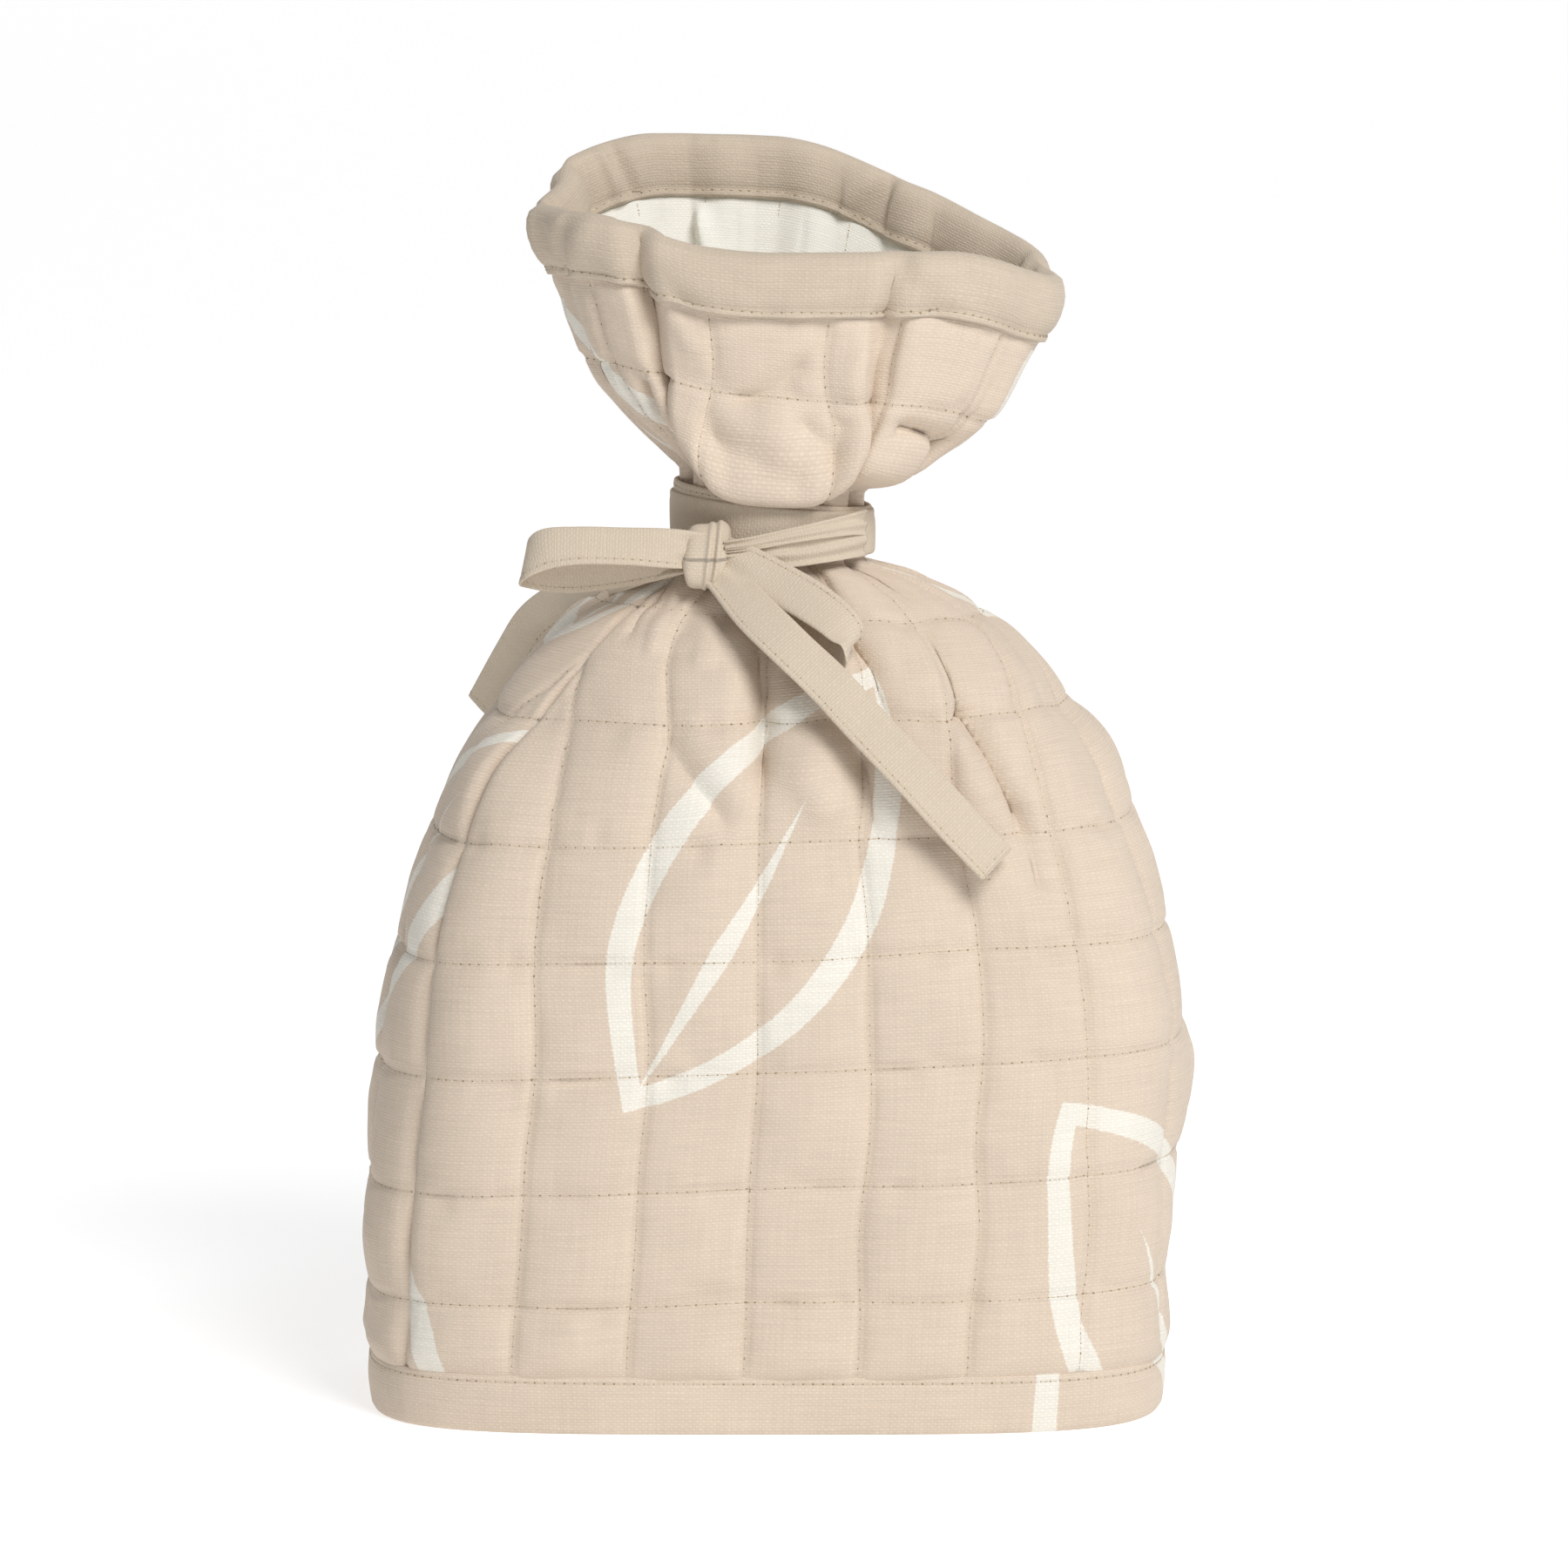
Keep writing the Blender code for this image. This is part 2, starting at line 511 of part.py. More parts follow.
def smooth_route(points, steps=2):
    """Catmull-Rom curve through a route, with its face directions."""
    values = np.array(points)
    padded = np.vstack([2 * values[0] - values[1], values, 2 * values[-1] - values[-2]])
    curve = []
    for index in range(1, len(padded) - 2):
        before, start, end, after = padded[index - 1:index + 3]
        for step in range(steps):
            t = step / steps
            curve.append(0.5 * (
                2 * start + (end - before) * t
                + (2 * before - 5 * start + 4 * end - after) * t**2
                + (3 * start - 3 * end + after - before) * t**3
            ))
    curve.append(values[-1])
    return np.array(curve)


def tape_piece(name, route):
    """A length of tape that follows a route with its face turned as the route says."""
    curve = smooth_route(route)
    places, faces_out = curve[:, :3], curve[:, 3:]
    loops = []
    for index, place in enumerate(places):
        ahead = places[min(index + 1, len(places) - 1)] - places[max(index - 1, 0)]
        ahead /= np.linalg.norm(ahead)
        out = faces_out[index] - ahead * np.dot(faces_out[index], ahead)
        out /= np.linalg.norm(out)
        side = np.cross(ahead, out)
        across, through = side * 0.5 * TAPE_WIDTH, out * 0.5 * TAPE
        loops.append([place + across + through, place + across - through,
                      place - across - through, place - across + through])
    faces = grid_faces(len(loops), 4, wrap_columns=True)
    last = (len(loops) - 1) * 4
    faces += [(0, 1, 2, 3), (last, last + 1, last + 2, last + 3)]
    return add_object(name, np.vstack(loops), faces, TAPE_COLOUR)


def tape_turn(name, radius, middle, tilt):
    """One turn of the tape around the neck, level with the leaning neck."""
    loops = []
    for index in range(TURN_SEGMENTS):
        angle = 2.0 * math.pi * index / TURN_SEGMENTS
        right, front = math.sin(angle), -math.cos(angle)
        height = middle + tilt * right
        corners = []
        for reach, edge in ((radius, -1), (radius + TAPE, -1), (radius + TAPE, 1), (radius, 1)):
            x, y = reach * right, reach * front
            corners.append((x, y, height + NECK_LEAN * x + edge * 0.5 * TAPE_WIDTH))
        loops.append(corners)
    faces = grid_faces(TURN_SEGMENTS, 4, wrap_rows=True, wrap_columns=True)
    return add_object(name, np.vstack(loops), faces, TAPE_COLOUR)


def knot():
    """The pulled knot: a rounded block with a band of tape around its middle."""
    centre = np.array(KNOT_PLACE) - MIDDLE
    bpy.ops.mesh.primitive_cube_add(size=1.0)
    thing = bpy.context.active_object
    thing.name = "knot"
    thing.data.transform(thing.matrix_world)
    builder = bmesh.new()
    builder.from_mesh(thing.data)
    bmesh.ops.subdivide_edges(builder, edges=builder.edges[:], cuts=3, use_grid_fill=True)
    for vertex in builder.verts:
        ball = vertex.co.normalized() * 0.5
        shape = vertex.co.lerp(ball, KNOT_ROUNDING)
        band = 1.0 + KNOT_BAND * math.cos(4.0 * math.pi * min(abs(shape.x), 0.25))
        scaled = np.array(shape) * KNOT_SIZE * (1.0, band, band)
        scaled[1] += KNOT_LEAN * scaled[2]
        vertex.co = Vector((centre + scaled) * MM)
    bmesh.ops.triangulate(builder, faces=builder.faces[:])
    builder.to_mesh(thing.data)
    builder.free()
    return thing


def tie():
    """The tape: two turns around the neck, the knot, two loops and two tails, as one."""
    body = tape_turn("tie", NECK_RADIUS, UPPER_TURN, 0.0)
    pieces = [
        tape_turn("turn", NECK_RADIUS + TAPE - TURN_BITE, LOWER_TURN, LOWER_TURN_TILT),
        knot(),
        tape_piece("left_loop", LEFT_LOOP),
        tape_piece("right_loop", RIGHT_LOOP),
        tape_piece("right_tail", RIGHT_TAIL),
        tape_piece("left_tail", LEFT_TAIL),
    ]
    for piece in pieces:
        union = body.modifiers.new(piece.name, "BOOLEAN")
        union.operation = "UNION"
        union.object = piece
        piece.hide_render = True
        piece.display_type = "WIRE"
    return body


def main():
    for thing in list(bpy.data.objects):
        bpy.data.objects.remove(thing, do_unlink=True)
    quilted_panel("front_panel", 0.0, QUILTED_COLOUR)
    quilted_panel("back_panel", 2.0, QUILTED_COLOUR)
    hem_binding()
    mouth_binding()
    mouth_lining()
    tie()


main()
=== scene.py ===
import math
from collections import namedtuple

import bmesh
import bpy
import numpy as np
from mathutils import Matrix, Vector
from mathutils.bvhtree import BVHTree


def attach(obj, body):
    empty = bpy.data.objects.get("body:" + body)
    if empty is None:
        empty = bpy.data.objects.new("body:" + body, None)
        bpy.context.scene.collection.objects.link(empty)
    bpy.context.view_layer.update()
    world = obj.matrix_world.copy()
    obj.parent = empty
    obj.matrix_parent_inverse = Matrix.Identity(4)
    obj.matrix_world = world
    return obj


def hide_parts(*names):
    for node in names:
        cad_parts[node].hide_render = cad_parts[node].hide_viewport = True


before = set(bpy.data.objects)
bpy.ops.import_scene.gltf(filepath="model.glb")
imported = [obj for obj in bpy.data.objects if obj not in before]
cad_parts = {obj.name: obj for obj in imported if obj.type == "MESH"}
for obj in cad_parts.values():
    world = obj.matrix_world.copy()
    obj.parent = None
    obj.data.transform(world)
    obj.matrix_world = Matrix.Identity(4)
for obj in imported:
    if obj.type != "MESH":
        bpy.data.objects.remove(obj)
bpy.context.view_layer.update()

MM = 0.001                          # lengths below are in millimetres until a mesh is made
MIDDLE = np.array([1.95, -1.90, 0.0])   # middle of the footprint, from the neck's axis


# ---- Table and light -----------------------------------------------------------------
# The cosy stands on a plain white table that runs up into a white wall.  The light is
# soft and even, a little stronger from the upper right.
TABLE_REACH, TABLE_BEND, WALL_HEIGHT = 3.0, 0.8, 4.0      # metres
BEND_STEPS = 12
TABLE_WHITE, TABLE_ROUGHNESS = (0.60, 0.60, 0.60), 0.8
TABLE_GLOW = 0.62                   # the table and wall are lit a little more than the cosy
SKY_WHITE, SKY_STRENGTH = (1.0, 1.0, 1.0, 1.0), 0.25
SOFT_BOX_PLACE, SOFT_BOX_SIZE = Vector((0.92, -1.60, 1.85)), 1.1      # metres
SOFT_BOX_POWER = 51.0               # watts
EYE_TARGET = Vector((0.00122, 0.0019, 0.16346))           # metres
EYE_DISTANCE, EYE_ELEVATION = 2.2, 7.5                    # metres, degrees
EYE_LENS, EYE_SENSOR = 188.5, 36.0

scene = bpy.context.scene
scene.view_settings.view_transform = "Standard"
scene.view_settings.look = "None"

sky = bpy.data.worlds.new("soft_sky")
sky.use_nodes = True
sky.node_tree.nodes["Background"].inputs["Color"].default_value = SKY_WHITE
sky.node_tree.nodes["Background"].inputs["Strength"].default_value = SKY_STRENGTH
scene.world = sky

light = bpy.data.lights.new("soft_box", "AREA")
light.size = SOFT_BOX_SIZE
light.energy = SOFT_BOX_POWER
soft_box = bpy.data.objects.new("soft_box", light)
soft_box.location = SOFT_BOX_PLACE
soft_box.rotation_euler = (EYE_TARGET - SOFT_BOX_PLACE).to_track_quat("-Z", "Y").to_euler()
scene.collection.objects.link(soft_box)

camera = bpy.data.cameras.new("eye")
camera.lens = EYE_LENS
camera.sensor_width = EYE_SENSOR
eye = bpy.data.objects.new("eye", camera)
lift = math.radians(EYE_ELEVATION)
eye.location = EYE_TARGET + EYE_DISTANCE * Vector((0.0, -math.cos(lift), math.sin(lift)))
eye.rotation_euler = (EYE_TARGET - eye.location).to_track_quat("-Z", "Y").to_euler()
scene.collection.objects.link(eye)
scene.camera = eye


def table_and_wall():
    """One sheet: the table, a quarter round and the wall behind it."""
    profile = [(-TABLE_REACH, 0.0), (TABLE_REACH - TABLE_BEND, 0.0)]
    for step in range(1, BEND_STEPS + 1):
        angle = 0.5 * math.pi * step / BEND_STEPS
        profile.append((
            TABLE_REACH - TABLE_BEND + TABLE_BEND * math.sin(angle),
            TABLE_BEND * (1.0 - math.cos(angle)),
        ))
    profile.append((TABLE_REACH, WALL_HEIGHT))
    vertices = [(x, y, z) for y, z in profile for x in (-TABLE_REACH, TABLE_REACH)]
    faces = [(2 * i, 2 * i + 1, 2 * i + 3, 2 * i + 2) for i in range(len(profile) - 1)]
    mesh = bpy.data.meshes.new("table")
    mesh.from_pydata(vertices, [], faces)
    mesh.shade_smooth()
    paint = bpy.data.materials.new("table_white")
    paint.use_nodes = True
    shader = paint.node_tree.nodes["Principled BSDF"]
    shader.inputs["Base Color"].default_value = (*TABLE_WHITE, 1.0)
    shader.inputs["Roughness"].default_value = TABLE_ROUGHNESS
    shader.inputs["Emission Color"].default_value = SKY_WHITE
    shader.inputs["Emission Strength"].default_value = TABLE_GLOW
    mesh.materials.append(paint)
    thing = bpy.data.objects.new("table", mesh)
    scene.collection.objects.link(thing)


table_and_wall()


# ---- Quilted panels ------------------------------------------------------------------
# Two panels of beige cotton canvas over wadding, with a white cotton inner side, are
# quilted in 30 mm squares and seamed at the sides into a sleeve.  The sleeve is drawn
# into pleats at the neck and flares above it into the mouth.
SQUARE = 30.0                       # pitch of the quilting
BASE_SQUARES = 5                    # squares each side of a panel's middle, at the hem
CLEARANCE = 0.3                     # between neighbouring pieces
PANEL_FOOT, HEM_TOP = 1.5, 15.8     # these and the ones below are nominal heights
NECK_LOW, NECK_HIGH = 227.0, 247.5  # the tie lies between these
MOUTH_SEAM, CLOTH_TOP, RIM = 299.0, 313.6, 316.0
STITCHED_ROWS = (
    HEM_TOP, 34.6, 65.0, 96.0, 126.0, 156.0, 186.0, 212.0, 236.0, 274.0, MOUTH_SEAM,
)

# Sections of the sleeve.  height: nominal height.  left, right, front, back: half axes
# of the middle of the cloth.  square: exponent of the superellipse.  half: half a
# panel's width in squares.  centre: cloth coordinate at the middle of the front.
# lean: rise towards the right.  gather: how far the pleats are drawn together.
# core: thickness at a stitched line.  puff: height of a square.
Ring = namedtuple("Ring", "height left right front back square half centre lean gather core puff")
RINGS = [
    Ring(0.0, 105.2, 102.0, 65.5, 62.5, 4.2, 5.00, -1.71, 0.000, 0.0, 1.8, 2.4),
    Ring(16.0, 105.8, 103.0, 66.0, 63.0, 4.2, 5.00, -1.73, 0.000, 0.0, 1.8, 2.4),
    Ring(45.0, 106.0, 103.3, 66.3, 63.5, 4.0, 5.00, -1.78, 0.020, 0.0, 1.8, 2.4),
    Ring(72.0, 105.4, 104.0, 66.3, 64.0, 3.7, 5.00, -1.82, 0.030, 0.0, 1.8, 2.4),
    Ring(96.0, 103.7, 104.5, 66.0, 64.0, 3.4, 5.00, -1.87, 0.035, 0.0, 1.8, 2.4),
    Ring(126.0, 98.2, 102.0, 65.3, 62.5, 3.2, 4.98, -1.86, 0.035, 0.1, 1.8, 2.4),
    Ring(156.0, 88.7, 93.5, 62.7, 59.5, 2.9, 4.90, -1.85, 0.030, 0.2, 1.8, 2.4),
    Ring(172.0, 81.7, 88.0, 59.2, 56.5, 2.6, 4.75, -1.90, 0.020, 0.3, 1.8, 2.2),
    Ring(186.0, 72.5, 77.5, 54.0, 52.0, 2.4, 4.45, -1.95, 0.010, 0.4, 1.8, 2.0),
    Ring(194.0, 66.5, 72.0, 50.3, 48.8, 2.3, 4.20, -1.95, 0.000, 0.5, 1.8, 1.8),
    Ring(201.0, 60.5, 66.5, 46.5, 45.0, 2.2, 4.00, -1.95, -0.010, 0.6, 1.8, 1.3),
    Ring(207.0, 54.5, 61.5, 42.5, 42.0, 2.1, 3.85, -1.97, -0.030, 0.6, 1.8, 1.1),
    Ring(213.0, 46.0, 55.0, 36.2, 38.0, 2.1, 3.75, -2.00, -0.060, 0.5, 1.7, 0.8),
    Ring(219.0, 35.0, 49.5, 29.4, 32.5, 2.0, 3.70, -2.05, -0.100, 0.3, 1.6, 0.5),
    Ring(223.0, 27.5, 42.0, 26.2, 27.8, 2.0, 3.70, -2.12, -0.120, 0.3, 1.6, 0.2),
    Ring(NECK_LOW, 24.0, 24.2, 24.0, 24.2, 2.0, 3.70, -2.18, -0.140, 0.3, 1.6, 0.0),
    Ring(NECK_HIGH, 24.0, 24.0, 24.0, 24.0, 2.0, 3.70, -2.38, -0.140, 0.3, 1.6, 0.0),
    Ring(251.0, 29.0, 27.8, 27.0, 27.5, 2.0, 3.70, -2.43, -0.140, 0.4, 1.6, 0.1),
    Ring(255.0, 34.0, 32.5, 29.2, 30.0, 2.1, 3.70, -2.46, -0.140, 0.6, 1.6, 0.4),
    Ring(261.0, 40.0, 41.5, 31.0, 33.5, 2.2, 3.70, -2.50, -0.140, 0.9, 1.6, 1.0),
    Ring(268.0, 46.3, 50.8, 31.8, 35.5, 2.2, 3.70, -2.53, -0.140, 1.0, 1.6, 1.2),
    Ring(275.0, 49.8, 58.0, 32.2, 37.2, 2.2, 3.70, -2.53, -0.140, 1.0, 1.6, 1.2),
    Ring(290.0, 54.4, 65.9, 33.2, 39.5, 2.2, 3.70, -2.53, -0.140, 1.0, 1.6, 1.2),
    Ring(305.0, 59.6, 73.2, 34.5, 41.0, 2.2, 3.70, -2.53, -0.140, 1.0, 1.6, 1.0),
    Ring(320.0, 63.2, 76.4, 36.0, 41.8, 2.2, 3.70, -2.53, -0.140, 1.0, 1.6, 1.0),
]

# Real height of the rim.  turn: share of the way around, from the front to the right.
RimPoint = namedtuple("RimPoint", "turn height")
RIM_HEIGHTS = [
    RimPoint(0.00, 308.0), RimPoint(0.13, 308.0), RimPoint(0.25, 300.0),
    RimPoint(0.33, 308.5), RimPoint(0.42, 321.5), RimPoint(0.53, 334.5),
    RimPoint(0.63, 335.5), RimPoint(0.70, 330.5), RimPoint(0.77, 319.0),
    RimPoint(0.86, 317.5), RimPoint(0.95, 309.5),
]

# Pleats.  cloth: cloth coordinate from the middle of the panel, in squares, as every
# cloth coordinate here is.  spread: half width in squares.
# drift: squares that the pleat moves by, down to the shoulder.  tight: share of its
# width that closes up.  shoulder, neck, ruffle, mouth: its depth there.
Pleat = namedtuple("Pleat", "cloth spread drift tight shoulder neck ruffle mouth")
FRONT_PLEATS = [
    Pleat(-3.70, 0.40, 0.0, 0.55, 0.0, 6.0, 8.5, 4.0),
    Pleat(-2.00, 0.45, 0.0, 0.20, 6.0, 2.5, 0.6, 0.0),
    Pleat(-1.26, 0.42, 1.1, 0.55, 4.0, 6.0, 8.5, 2.4),
    Pleat(0.22, 0.50, 0.4, 0.45, 2.5, 6.5, 3.0, 1.0),
    Pleat(1.48, 0.55, 0.0, 0.50, 2.5, 6.5, 4.5, 2.5),
    Pleat(2.74, 0.50, 0.0, 0.45, 3.0, 6.5, 3.0, 0.7),
    Pleat(3.70, 0.44, 0.0, 0.568, 0.0, 4.5, 4.5, 1.0),
]
BACK_PLEATS = [
    Pleat(-2.44, 0.50, 0.0, 0.50, 3.0, 4.0, 4.0, 1.0),
    Pleat(-1.26, 0.55, 0.0, 0.50, 3.0, 4.5, 4.5, 2.0),
    Pleat(0.00, 0.55, 0.0, 0.45, 2.5, 5.5, 3.0, 1.0),
    Pleat(1.26, 0.55, 0.0, 0.50, 3.0, 5.5, 4.5, 3.0),
    Pleat(2.44, 0.50, 0.0, 0.45, 2.5, 5.5, 3.5, 2.0),
]
PLEAT_FOOT, SHOULDER_LEVEL, RUFFLE_LEVEL = 150.0, 216.0, 268.0

# Soft bulges and hollows.  cloth, height: the middle.  wide: half width in squares.
# tall: half height.  out: how far it stands out, or in if negative.
Bulge = namedtuple("Bulge", "cloth height wide tall out")
BULGES = [
    Bulge(3.30, 80.0, 0.9, 24.0, 6.0),
    Bulge(14.60, 48.0, 0.6, 20.0, 1.5),
    Bulge(-0.50, 150.0, 1.0, 34.0, -2.0),
    Bulge(1.75, 115.0, 0.9, 60.0, 3.5),
    Bulge(-4.75, 115.0, 0.6, 70.0, 4.5),
    Bulge(-4.90, 178.0, 0.6, 14.0, 3.0),
    Bulge(-3.60, 108.0, 0.8, 26.0, 1.2),
    Bulge(7.40, 92.0, 1.3, 40.0, -2.5),
    Bulge(10.60, 140.0, 1.2, 36.0, 2.0),
]


def smooth_value(knots, values, at):
    """Monotone cubic through (knots, values), so a steep step never overshoots."""
    index = int(np.clip(np.searchsorted(knots, at) - 1, 0, len(knots) - 2))
    slopes = np.diff(values) / np.diff(knots)

    def tangent(k):
        if k == 0:
            return slopes[0]
        if k == len(knots) - 1:
            return slopes[-1]
        before, after = slopes[k - 1], slopes[k]
        if before * after <= 0.0:
            return 0.0
        return 2.0 * before * after / (before + after)

    span = knots[index + 1] - knots[index]
    t = (at - knots[index]) / span
    start, end = values[index], values[index + 1]
    return (
        start * (2 * t**3 - 3 * t**2 + 1)
        + end * (3 * t**2 - 2 * t**3)
        + span * (tangent(index) * (t**3 - 2 * t**2 + t) + tangent(index + 1) * (t**3 - t**2))
    )


def ease(value):
    """Smooth step from 0 to 1."""
    value = np.clip(value, 0.0, 1.0)
    return value * value * (3.0 - 2.0 * value)


# Numbers that scatter the ripple's knots.
KNOT_X, KNOT_Y, KNOT_SEED, KNOT_SCALE = 127.1, 311.7, 74.7, 43758.5453


def ripple(x, y, seed):
    """Smooth random heights from -1 to 1, with one knot for each unit of x and y."""
    cell_x, cell_y = np.floor(x), np.floor(y)
    share_x, share_y = ease(x - cell_x), ease(y - cell_y)

    def knot_height(i, j):
        scattered = np.sin(i * KNOT_X + j * KNOT_Y + seed * KNOT_SEED) * KNOT_SCALE
        return 2.0 * (scattered - np.floor(scattered)) - 1.0

    low = (
        knot_height(cell_x, cell_y) * (1 - share_x)
        + knot_height(cell_x + 1, cell_y) * share_x
    )
    high = (
        knot_height(cell_x, cell_y + 1) * (1 - share_x)
        + knot_height(cell_x + 1, cell_y + 1) * share_x
    )
    return low * (1 - share_y) + high * share_y


HEIGHTS = np.array([ring.height for ring in RINGS])
COLUMNS = np.array(RINGS).T


def ring_at(level):
    """The section at a nominal height."""
    return Ring(*(smooth_value(HEIGHTS, column, level) for column in COLUMNS))


# Length of cloth from the hem up to each level, along the average of the four sides.
LEVEL_STEP = 0.5
LEVELS = np.arange(0.0, RINGS[-1].height + 0.1, LEVEL_STEP)
REACHES = np.array([sum(ring_at(level)[1:5]) / 4.0 for level in LEVELS])
CLOTH_UP = np.concatenate([[0.0], np.cumsum(np.hypot(np.diff(REACHES), np.diff(LEVELS)))])


def cloth_up(level):
    """Length of cloth from the hem to a level."""
    return np.interp(level, LEVELS, CLOTH_UP)


# The rim's height at equal shares of the way around.  Two points of the neighbouring
# laps stand at each end, so that the line closes smoothly.
lap_turns, lap_heights = np.array(RIM_HEIGHTS).T
lap_turns = np.concatenate([lap_turns[-2:] - 1.0, lap_turns, lap_turns[:2] + 1.0])
lap_heights = np.concatenate([lap_heights[-2:], lap_heights, lap_heights[:2]])
RIM_SHARES = np.linspace(0.0, 1.0, 481)
RIM_LINE = np.array([smooth_value(lap_turns, lap_heights, share) for share in RIM_SHARES])


def rim_height(turn):
    """Real height of the rim at each share of the way around."""
    return np.interp(turn % 1.0, RIM_SHARES, RIM_LINE)


PLAN_SAMPLES = 1440


def plan_curve(ring):
    """The unpleated section seen from above, as points, outward normals and arc length."""
    angle = np.linspace(0.0, 2.0 * math.pi, PLAN_SAMPLES + 1)
    power = 2.0 / ring.square
    across = np.sign(np.sin(angle)) * np.abs(np.sin(angle)) ** power
    along = -np.sign(np.cos(angle)) * np.abs(np.cos(angle)) ** power
    x = across * np.where(across > 0.0, ring.right, ring.left)
    y = along * np.where(along < 0.0, ring.front, ring.back)
    points = np.stack([x, y], axis=1)
    steps = np.linalg.norm(np.diff(points, axis=0), axis=1)
    length = np.concatenate([[0.0], np.cumsum(steps)])
    ahead = np.roll(points[:-1], -1, axis=0) - np.roll(points[:-1], 1, axis=0)
    ahead = np.vstack([ahead, ahead[:1]])
    normals = np.stack([ahead[:, 1], -ahead[:, 0]], axis=1)
    normals /= np.linalg.norm(normals, axis=1)[:, None]
    return points, normals, length


def pleat_depth(pleat, level):
    """Depth of a pleat at a level."""
    if level <= SHOULDER_LEVEL:
        return pleat.shoulder * ease((level - PLEAT_FOOT) / (SHOULDER_LEVEL - PLEAT_FOOT))
    stations = (SHOULDER_LEVEL, NECK_LOW, NECK_HIGH, RUFFLE_LEVEL, RIM)
    depths = (pleat.shoulder, pleat.neck, pleat.neck, pleat.ruffle, pleat.mouth)
    return smooth_value(np.array(stations), np.array(depths), min(level, RIM))


# Soft lobes of the ruffle that hang out over the tie.  cloth, level: the middle.  wide,
# tall: half width in squares and half height.  out, down, aside: how far the cloth moves
# there.  aside spreads it both ways from the lobe's middle.
Lobe = namedtuple("Lobe", "cloth level wide tall out down aside")
LOBES = [
    Lobe(-2.40, 254.0, 1.15, 7.0, 1.2, 3.0, 10.5),
    Lobe(-2.42, 254.0, 0.62, 6.5, 1.0, 7.5, 0.0),
    Lobe(-0.20, 257.0, 0.90, 6.0, 3.5, 4.0, 0.0),
    Lobe(1.30, 256.0, 0.80, 7.0, 0.5, -3.0, 0.0),
    Lobe(0.90, 248.5, 1.20, 4.0, 3.0, 0.0, 0.0),
    Lobe(-5.20, 247.5, 1.30, 2.5, 2.5, 0.0, 0.0),
]
LOBE_RISE = 2.0                     # a lobe starts this far below the top of the tie
LOBE_EDGE = 3.5                     # the higher, the steeper the lobe's sides
ASIDE_TALL, ASIDE_WIDE = 2.2, 0.65  # reach of the spread aside, in a lobe's own size

# Creases and ridges that the cloth has besides its pleats.  Each runs from one point to
# the other, in squares around and millimetres of level.  wide: half width in
# millimetres.  out: how far it stands out, or in if negative.
Fold = namedtuple("Fold", "cloth_a level_a cloth_b level_b wide out")
FOLDS = [
    Fold(-2.28, 217.0, -1.98, 172.0, 4.2, -5.0),
    Fold(-1.75, 202.0, -0.95, 173.0, 4.5, -3.4),
    Fold(-0.95, 176.0, -0.85, 158.0, 3.5, -2.6),
    Fold(-1.62, 176.0, -1.25, 164.0, 5.0, 2.6),
    Fold(0.08, 210.0, 0.18, 186.0, 3.5, -2.6),
    Fold(0.18, 188.0, 0.70, 160.0, 4.0, -4.6),
    Fold(0.70, 163.0, 0.72, 140.0, 3.5, -2.6),
    Fold(-0.20, 200.0, 0.25, 166.0, 5.0, 2.2),
    Fold(-3.05, 183.0, -2.30, 160.0, 3.5, -2.1),
    Fold(-2.80, 186.0, -2.15, 168.0, 3.5, 1.7),
    Fold(-3.60, 218.0, -3.45, 205.0, 2.5, -1.6),
    Fold(-3.30, 219.0, -3.15, 203.0, 2.2, 1.2),
    Fold(-2.95, 220.0, -2.90, 206.0, 2.5, -1.6),
    Fold(-2.70, 219.0, -2.65, 200.0, 2.8, 1.3),
    Fold(-1.40, 214.0, -0.70, 196.0, 3.5, -1.6),
    Fold(-4.25, 256.0, -4.12, 272.0, 3.0, -4.5),
    Fold(-0.75, 268.5, 0.35, 265.5, 2.8, -4.5),
    Fold(-2.50, 272.0, -2.35, 256.0, 4.0, 1.4),
    Fold(-3.00, 268.0, -2.70, 256.0, 3.0, -1.4),
    Fold(-1.90, 270.0, -1.95, 254.0, 3.5, -1.8),
    Fold(-2.20, 286.0, -2.75, 272.0, 3.5, -2.4),
    Fold(-2.95, 263.0, -2.20, 257.0, 3.0, -2.4),
    Fold(-1.60, 290.0, -1.75, 276.0, 4.0, 1.8),
    Fold(-2.30, 268.0, -1.95, 259.0, 3.0, -2.0),
    Fold(-1.05, 304.0, -1.35, 286.0, 3.5, 1.6),
    Fold(-3.35, 304.0, -3.15, 285.0, 3.0, 1.3),
]


def short_way(cloth, place, around):
    """Squares from a place on the sleeve to each cloth coordinate, the short way around."""
    return (cloth - place + 0.5 * around) % around - 0.5 * around


def fold_height(cloth, level, around):
    """How far the creases and ridges move the cloth out, at one level."""
    height = np.zeros_like(cloth)
    for fold in FOLDS:
        start_up = cloth_up(fold.level_a)
        run_around = (fold.cloth_b - fold.cloth_a) * SQUARE
        run = np.array([run_around, cloth_up(fold.level_b) - start_up])
        reach = np.linalg.norm(run)
        past = short_way(cloth, fold.cloth_a, around) * SQUARE
        up = cloth_up(level) - start_up
        along = (past * run[0] + up * run[1]) / reach**2
        aside = (past * run[1] - up * run[0]) / reach
        ends = ease(0.5 + (0.5 - np.abs(along - 0.5)) * reach / (2.0 * fold.wide))
        height += fold.out * ends * np.exp(-((aside / fold.wide) ** 2))
    return height


# The stitched lines wander a little: squares around, millimetres up, and how far from a
# side seam, in squares, and from the hem and the neck, in millimetres, they lie still.
WANDER_AROUND, WANDER_UP = 0.035, 0.9
CALM_AROUND, CALM_UP = 1.5, 20.0
PLEAT_ROUND = 0.01                  # rounds the sharp bottom of a drawn-in pleat


